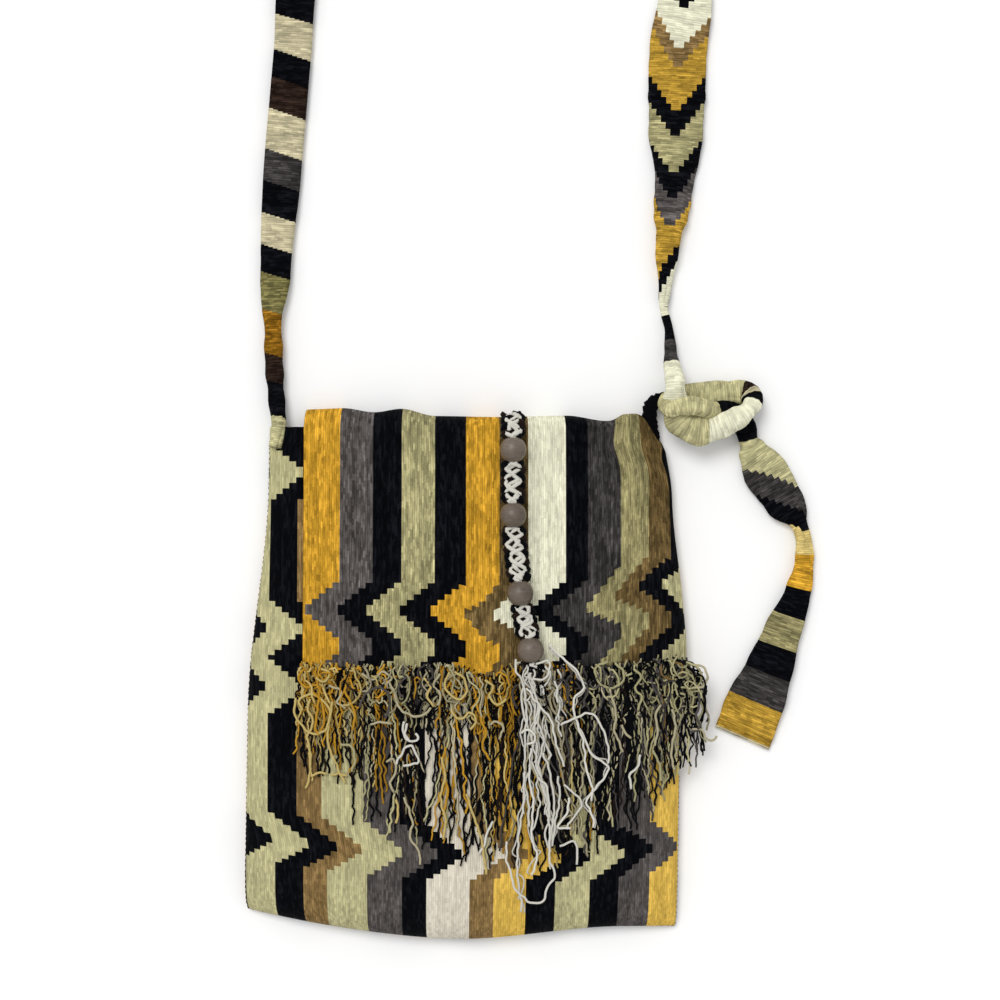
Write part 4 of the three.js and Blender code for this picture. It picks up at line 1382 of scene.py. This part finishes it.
class BAG_OT_tassel(bpy.types.Operator):
    """Long black and white yarns under the last bead"""

    bl_idname = "bag.tassel"
    bl_label = "Tassel"

    def execute(self, context):
        rng = random.Random(21)
        bm = bmesh.new()
        thick = sizes().tassel_yarn / MM / 2
        x0, y0 = BEADS[-1]
        for strand in range(TASSEL_STRANDS):
            length = rng.uniform(45, 128)
            white = strand % TASSEL_WHITE_EVERY == 0
            way = rng.uniform(-0.05, 0.22) if white else rng.gauss(0.09, 0.13)
            wander = rng.uniform(4, 9)
            lift = rng.uniform(5, 8.5) if white else rng.uniform(1.2, 5)
            loose = rng.random() * 50
            route = []
            for i in range(int(length / 1.8) + 1):
                s = i * 1.8
                sway = noise.noise(Vector((s / 19, strand * 3.7, loose))) * wander * smooth(s, 0, 14)
                kink = noise.noise(Vector((s / 5.5, strand * 5.1, 3.0))) * 1.7
                apart = (strand % 7 - 3) * 0.7 * smooth(s, 0, 8)
                x = x0 + rng.uniform(-0.1, 0.1) + way * s + sway + kink + apart
                y = y0 - 5.5 - s * 0.97
                z = pile_height(x, y) + lift * lerp(0.55, 1.25, smooth(y, -55, -22))
                route.append(Vector((x, y, lerp(bead_height(x0, y0), z, smooth(s, 0, 11)))))
            dark = ["black"] * 5 + ["grey"] * 3 + ["flax"]
            colour = rng.choice(["white", "white", "flax"] if white else dark)
            shade = 0.6 if white else rng.random() * 0.5
            add_tube(bm, route, rng.uniform(0.5, 0.72), 5, YARNS.index(colour), shade)
        # Curls crowd under the bead.
        for strand in range(TASSEL_CURLS):
            start, fall, rise = rng.uniform(31, 62), rng.uniform(16, 60), rng.uniform(2, 5.5)
            route = loose_yarn(rng, start, fall, strand % 2 == 0, 0.02, rise)
            colour = rng.choice(["white", "white", "flax", "black", "black", "grey", "grey"])
            shade = 0.55 if colour == "white" else 0.3
            add_tube(bm, route, rng.uniform(0.5, 0.75), 5, YARNS.index(colour), shade)
        for number, loop in enumerate(TASSEL_LOOPS):
            route = []
            plan = smooth_route([(*on_plan(column, row), 0) for column, row in loop], 1.5)
            for i, point in enumerate(plan):
                kink = noise.noise_vector(Vector((i / 2.8, number * 7.3, 5.0))) * 1.1
                x, y = point.x + kink.x, point.y + kink.y
                rise = lerp(4.8, 10, smooth(y, -55, -22))
                rise += 1.5 * noise.noise(Vector((i / 9, number * 3.3, 9.0)))
                route.append(Vector((x, y, pile_height(x, y) + rise + number % 3 * 0.5)))
            add_tube(bm, route, thick, 7, YARNS.index("white"), 0.5 + 0.3 * rng.random())
            # A second yarn runs loosely beside some of them.
            if number % 2:
                continue
            beside = []
            for i, point in enumerate(route):
                stray = noise.noise_vector(Vector((i / 6, number * 2.9, 1.0))) * 5
                beside.append(point + Vector((stray.x, stray.y, -1.6 + 0.3 * stray.z)))
            add_tube(bm, beside, thick * 0.75, 6, YARNS.index("white" if number % 3 == 0 else "flax"), 0.45)
        # The knot of wound yarn that holds them under the bead
        wound = []
        for i in range(60):
            turn = i * 2 * math.pi / 9
            y = y0 - 6.4 - 6 * i / 60
            out = 3.3 + 0.5 * math.sin(i * 1.7)
            z = bead_height(x0, y0) - 2 + out * math.sin(turn)
            wound.append(Vector((x0 + out * math.cos(turn), y, z)))
        add_tube(bm, wound, 1.0, 6, YARNS.index("black"), 0.3)
        piece = finish_mesh("ornament_tassel_yarns", bm, yarns())
        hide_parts("ornament_tassel")
        return {"FINISHED"}


# Fringe: for each bunch from the left, its main yarn, its shortest and longest fall in millimetres and the
# yarns that its strands are drawn from. Straw strands in these lists are painted highlight on the golden
# yarn;
# the umber and black ones are partly dark yarn and partly painted shade between the strands.
FRINGE = [
    ("ochre", 34, 66, ["ochre"] * 5 + ["straw_and_highlight"] * 4 + ["umber"]),
    ("ochre", 38, 72, ["ochre"] * 4 + ["straw_and_highlight"] * 3 + ["flax", "umber", "black"]),
    ("sage", 52, 94, ["ochre"] * 2 + ["sage"] * 3 + ["black"] * 4 + ["flax"] * 2),
    ("black", 58, 106, ["black"] * 5 + ["sage"] * 2 + ["flax"] * 2 + ["grey"]),
    ("black", 60, 112, ["black"] * 4 + ["flax"] * 2 + ["ochre"] * 2 + ["sage"]),
    ("ochre", 64, 120, ["ochre"] * 5 + ["umber"] * 4 + ["straw_and_highlight"] * 2),
    ("brown", 64, 122, ["ochre"] * 4 + ["umber"] * 4 + ["black"] * 3 + ["straw_and_highlight"]),
    ("black", 60, 112, ["black"] * 5 + ["umber"] + ["sage"] * 2 + ["grey"] * 2 + ["flax"]),
    ("black", 56, 100, ["black"] * 5 + ["sage"] * 2 + ["grey"] * 3 + ["flax"]),
    ("sage", 48, 82, ["sage"] * 3 + ["black"] * 4 + ["grey"] + ["flax"]),
    ("grey", 42, 76, ["sage"] * 3 + ["black"] * 6 + ["grey"] * 3 + ["brown"]),
    ("sage", 30, 62, ["sage"] * 3 + ["black"] * 6 + ["grey"] * 2 + ["flax"]),
]


# Yarns that lie over the others, traced in the picture: bunch, yarn and its (column, row) places
# The straw yarns among them are painted highlight: golden yarn where the light falls on it.
FRINGE_CURLS = [
    (
        1,
        "straw_and_highlight",
        [(297, 697), (296, 710), (301, 722), (312, 732), (325, 730), (331, 717), (329, 704), (320, 695)],
    ),
    (1, "straw_and_highlight", [(320, 695), (309, 693), (301, 699), (303, 709)]),
    (1, "ochre", [(306, 668), (300, 676), (308, 686), (320, 684), (319, 707), (316, 725), (320, 734)]),
    (1, "ochre", [(313, 690), (323, 701), (325, 716), (322, 729)]),
    (1, "straw_and_highlight", [(311, 697), (309, 707), (314, 722), (309, 735), (311, 752), (310, 775), (306, 787)]),
    (1, "straw_and_highlight", [(312, 775), (320, 771), (327, 773)]),
    (1, "straw_and_highlight", [(322, 667), (331, 671), (327, 680), (317, 677)]),
    (2, "straw_and_highlight", [(334, 700), (329, 732), (331, 750), (337, 762), (341, 772), (347, 781)]),
    (2, "straw_and_highlight", [(331, 774), (340, 772), (348, 775)]),
    (2, "ochre", [(352, 677), (346, 687), (352, 700), (356, 715), (353, 728)]),
    (2, "flax", [(330, 684), (342, 690), (339, 701), (347, 706)]),
    (3, "grey", [(360, 706), (366, 693), (379, 686), (388, 690), (391, 702), (386, 716)]),
    (3, "flax", [(372, 723), (382, 720), (392, 722)]),
    (3, "flax", [(363, 672), (373, 678), (383, 670), (393, 676), (386, 683)]),
    (3, "sage", [(342, 742), (352, 745), (356, 757), (353, 770)]),
    (4, "flax", [(390, 680), (395, 690), (400, 705), (410, 712), (422, 714), (432, 706)]),
    (4, "white", [(406, 719), (404, 727), (407, 736), (413, 740), (419, 736), (415, 731)]),
    (4, "white", [(408, 721), (406, 730), (410, 738)]),
    (4, "white", [(396, 763), (402, 752), (411, 743), (417, 754), (418, 761), (404, 764)]),
    (4, "flax", [(387, 760), (394, 757), (397, 770), (391, 780), (395, 791)]),
    (4, "straw_and_highlight", [(397, 797), (399, 810), (396, 821)]),
    (4, "flax", [(405, 795), (410, 810), (413, 822), (411, 835), (419, 850), (421, 861)]),
    (5, "straw_and_highlight", [(424, 676), (431, 684), (428, 695), (435, 704)]),
    (5, "flax", [(440, 672), (434, 683), (441, 692), (438, 704)]),
    (6, "straw_and_highlight", [(450, 670), (445, 680), (450, 692), (460, 697), (467, 689), (464, 677), (455, 669)]),
    (6, "straw_and_highlight", [(452, 709), (460, 717), (470, 710), (476, 718), (471, 727)]),
    (6, "straw_and_highlight", [(442, 755), (445, 775), (441, 795), (446, 820), (444, 837)]),
    (6, "ochre", [(446, 745), (443, 765), (448, 788), (444, 812)]),
    (6, "ochre", [(480, 714), (486, 730), (483, 745), (490, 758)]),
    (6, "straw_and_highlight", [(467, 792), (472, 810), (480, 830), (483, 850), (487, 871)]),
    (7, "white", [(493, 819), (487, 830), (485, 840), (480, 851)]),
    (7, "flax", [(490, 722), (497, 720), (503, 726), (499, 737)]),
    (7, "straw_and_highlight", [(486, 678), (494, 684), (490, 695), (499, 702), (506, 696)]),
    (10, "sage", [(607, 660), (595, 666), (596, 678), (609, 687), (621, 681), (622, 669), (613, 662)]),
    (10, "flax", [(609, 687), (612, 700), (615, 715), (613, 727), (618, 740), (622, 751)]),
    (10, "flax", [(621, 724), (624, 731), (630, 737)]),
    (10, "white", [(640, 754), (637, 767), (629, 774), (631, 788)]),
    (10, "sage", [(632, 668), (640, 676), (634, 687), (641, 696), (637, 709)]),
    (11, "flax", [(661, 704), (655, 715), (657, 730), (654, 746)]),
    (11, "brown", [(660, 664), (661, 673), (671, 679), (681, 673), (680, 664), (670, 661)]),
    (11, "sage", [(652, 750), (660, 765), (661, 781)]),
    (11, "flax", [(672, 709), (675, 730), (671, 750), (675, 771)]),
    (12, "flax", [(689, 664), (701, 666), (707, 676), (702, 686), (692, 688)]),
    (12, "grey", [(697, 690), (700, 702), (696, 717), (700, 726), (690, 733)]),
    (12, "flax", [(692, 729), (702, 730), (706, 738), (713, 741), (717, 736)]),
    (12, "black", [(685, 690), (688, 708), (685, 722), (691, 736)]),
]


# Short curled strands along the hem, in each bunch
FRINGE_SHORT = 22


class BAG_OT_fringe(bpy.types.Operator):
    """The flap's warp ends: kinked yarns that curl at the hem and straggle down the front"""

    bl_idname = "bag.fringe"
    bl_label = "Fringe"

    def execute(self, context):
        rng = random.Random(5)
        thick = sizes().strand / MM / 2
        first = math.asin((FLAP_EDGE_X - middle_x(HEM_Y)) / (edge_x(HEM_Y, -1) - CLOTH + FLAP_OUTER))
        last = FLAP_RIGHT - math.radians(3)
        for number, (main_yarn, short, long, colours) in enumerate(FRINGE):
            bm = bmesh.new()
            for strand in range(sizes().strands + FRINGE_SHORT):
                angle = lerp(first, last, clamp((number + rng.uniform(-0.15, 1.15)) / len(FRINGE)))
                x0 = flap_point(angle, HEM_Y, FLAP_OUTER).x
                heading = strand >= sizes().strands
                fall = rng.uniform(12, 38) if heading else rng.uniform(short, long)
                # The fringe is thin beside its fifth bunch, where the front shows.
                fall = min(fall, 36) if -23.5 < x0 < -12 else fall
                route = loose_yarn(rng, x0, fall, heading, 0.0, 0.0)
                if number == len(FRINGE) - 1:
                    # The last bunch spills over the edge.
                    aside = rng.uniform(-2, 12) * (1 - 0.5 * smooth(fall, 40, 60))
                    route = [point + Vector((aside * smooth(i, 0, 5), 0, 0)) for i, point in enumerate(route)]
                # The curls show the pale yarns more, as painted highlight on top, and the long ends the dark
                # ones, partly as painted shade under the curls.
                more = [c for c in colours if c not in ("black", "umber")] if heading else []
                if fall > (48 if number < 2 else 66):
                    more = ["black"] * 4 + ["umber"]
                colour = YARNS.index(rng.choice(colours + more))
                add_tube(bm, route, thick * rng.uniform(0.8, 1.15), 5, colour, rng.random())
            for mark, (bunch, yarn, places) in enumerate(FRINGE_CURLS):
                if bunch == number + 1:
                    add_tube(bm, self.curl(places, mark), thick * 1.2, 6, YARNS.index(yarn), 0.65)
            piece = finish_mesh(f"fringe_{number + 1}", bm, yarns())
            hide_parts(f"fringe_bunch_{number + 1}")
        return {"FINISHED"}

    def curl(self, places, mark):
        """A traced yarn, kinked, that dips in and out of the pile."""
        route = []
        plan = smooth_route([(*on_plan(column, row), 0) for column, row in places], 1.4)
        for i, point in enumerate(plan):
            kink = noise.noise_vector(Vector((i / 2.6, mark * 5.9, 2.0))) * 0.9
            x, y = point.x + kink.x, point.y + kink.y
            rise = lerp(2.4, 6.6, smooth(y, HEM_Y - 62, HEM_Y - 26)) + 1.4 * kink.z
            route.append(Vector((x, y, pile_height(x, y) + rise)))
        return route


# Light: the even level of the room, then the window's strength and its width in degrees
ROOM_LEVEL = 0.72
WINDOW_LEVEL = 1.45
WINDOW_WIDTH = 28


class BAG_OT_stage(bpy.types.Operator):
    """The pale floor, soft light and the camera that looks straight down"""

    bl_idname = "bag.stage"
    bl_label = "Stage"

    def execute(self, context):
        scene = context.scene
        bm = bmesh.new()
        bmesh.ops.create_grid(bm, x_segments=1, y_segments=1, size=6)
        mesh = bpy.data.meshes.new("floor")
        bm.to_mesh(mesh)
        bm.free()
        floor = bpy.data.objects.new("floor", mesh)
        floor.location.z = -0.0002
        context.collection.objects.link(floor)
        # Uncoated paper: matt and even, so that only the soft shadow shows on it
        material, _, shader = new_material("matt paper floor", 0.9, 0.0)
        shader.inputs["Base Color"].default_value = (*sizes().floor, 1)
        mesh.materials.append(material)

        world = bpy.data.worlds.new("soft room")
        scene.world = world
        world.use_nodes = True
        world.node_tree.nodes["Background"].inputs["Color"].default_value = (1, 1, 1, 1)
        world.node_tree.nodes["Background"].inputs["Strength"].default_value = ROOM_LEVEL

        lamp = bpy.data.lights.new("window", "SUN")
        lamp.energy = WINDOW_LEVEL
        lamp.angle = math.radians(WINDOW_WIDTH)
        window = bpy.data.objects.new("window", lamp)
        window.rotation_euler = (math.radians(-24), math.radians(-17), 0)
        context.collection.objects.link(window)

        lens = bpy.data.cameras.new("camera")
        lens.lens = 85
        lens.sensor_width = 36
        camera = bpy.data.objects.new("camera", lens)
        # Over the picture's middle, as high as shows its whole width at the belly's height
        x, y = on_plan(500, 500)
        height = 1000 * PIXEL * lens.lens / lens.sensor_width + 22
        camera.location = Vector((x, y, height)) * MM
        context.collection.objects.link(camera)
        scene.camera = camera
        scene.view_settings.view_transform = "Standard"
        return {"FINISHED"}


class BAG_PT_panel(bpy.types.Panel):
    """Lists the bag's pieces and their settings"""

    bl_idname = "BAG_PT_panel"
    bl_label = "Woven bag"
    bl_space_type = "VIEW_3D"
    bl_region_type = "UI"
    bl_category = "Bag"

    def draw(self, context):
        for settings in (context.scene.bag_sizes, context.scene.bag_colours):
            for name in settings.__annotations__:
                self.layout.prop(settings, name)
        for operator in OPERATORS:
            self.layout.operator(operator.bl_idname)


OPERATORS = [
    BAG_OT_stage,
    BAG_OT_front_panel,
    BAG_OT_fringe,
    BAG_OT_back_and_flap,
    BAG_OT_corner_loop,
    BAG_OT_strap,
    BAG_OT_seam,
    BAG_OT_beads,
    BAG_OT_tassel,
    BAG_OT_braid,
]
CLASSES = [BagColours, BagSizes, *OPERATORS, BAG_PT_panel]


# Noise vectors start from the clock unless they are seeded, so this fixes the yarns' kinks
NOISE_SEED = 1795620897


def register():
    noise.seed_set(NOISE_SEED)
    for cls in CLASSES:
        bpy.utils.register_class(cls)
    bpy.types.Scene.bag_colours = PointerProperty(type=BagColours)
    bpy.types.Scene.bag_sizes = PointerProperty(type=BagSizes)


def unregister():
    del bpy.types.Scene.bag_sizes
    del bpy.types.Scene.bag_colours
    for cls in reversed(CLASSES):
        bpy.utils.unregister_class(cls)


def main():
    register()
    for operator in OPERATORS:
        group, name = operator.bl_idname.split(".")
        getattr(getattr(bpy.ops, group), name)()


if __name__ == "__main__":
    main()
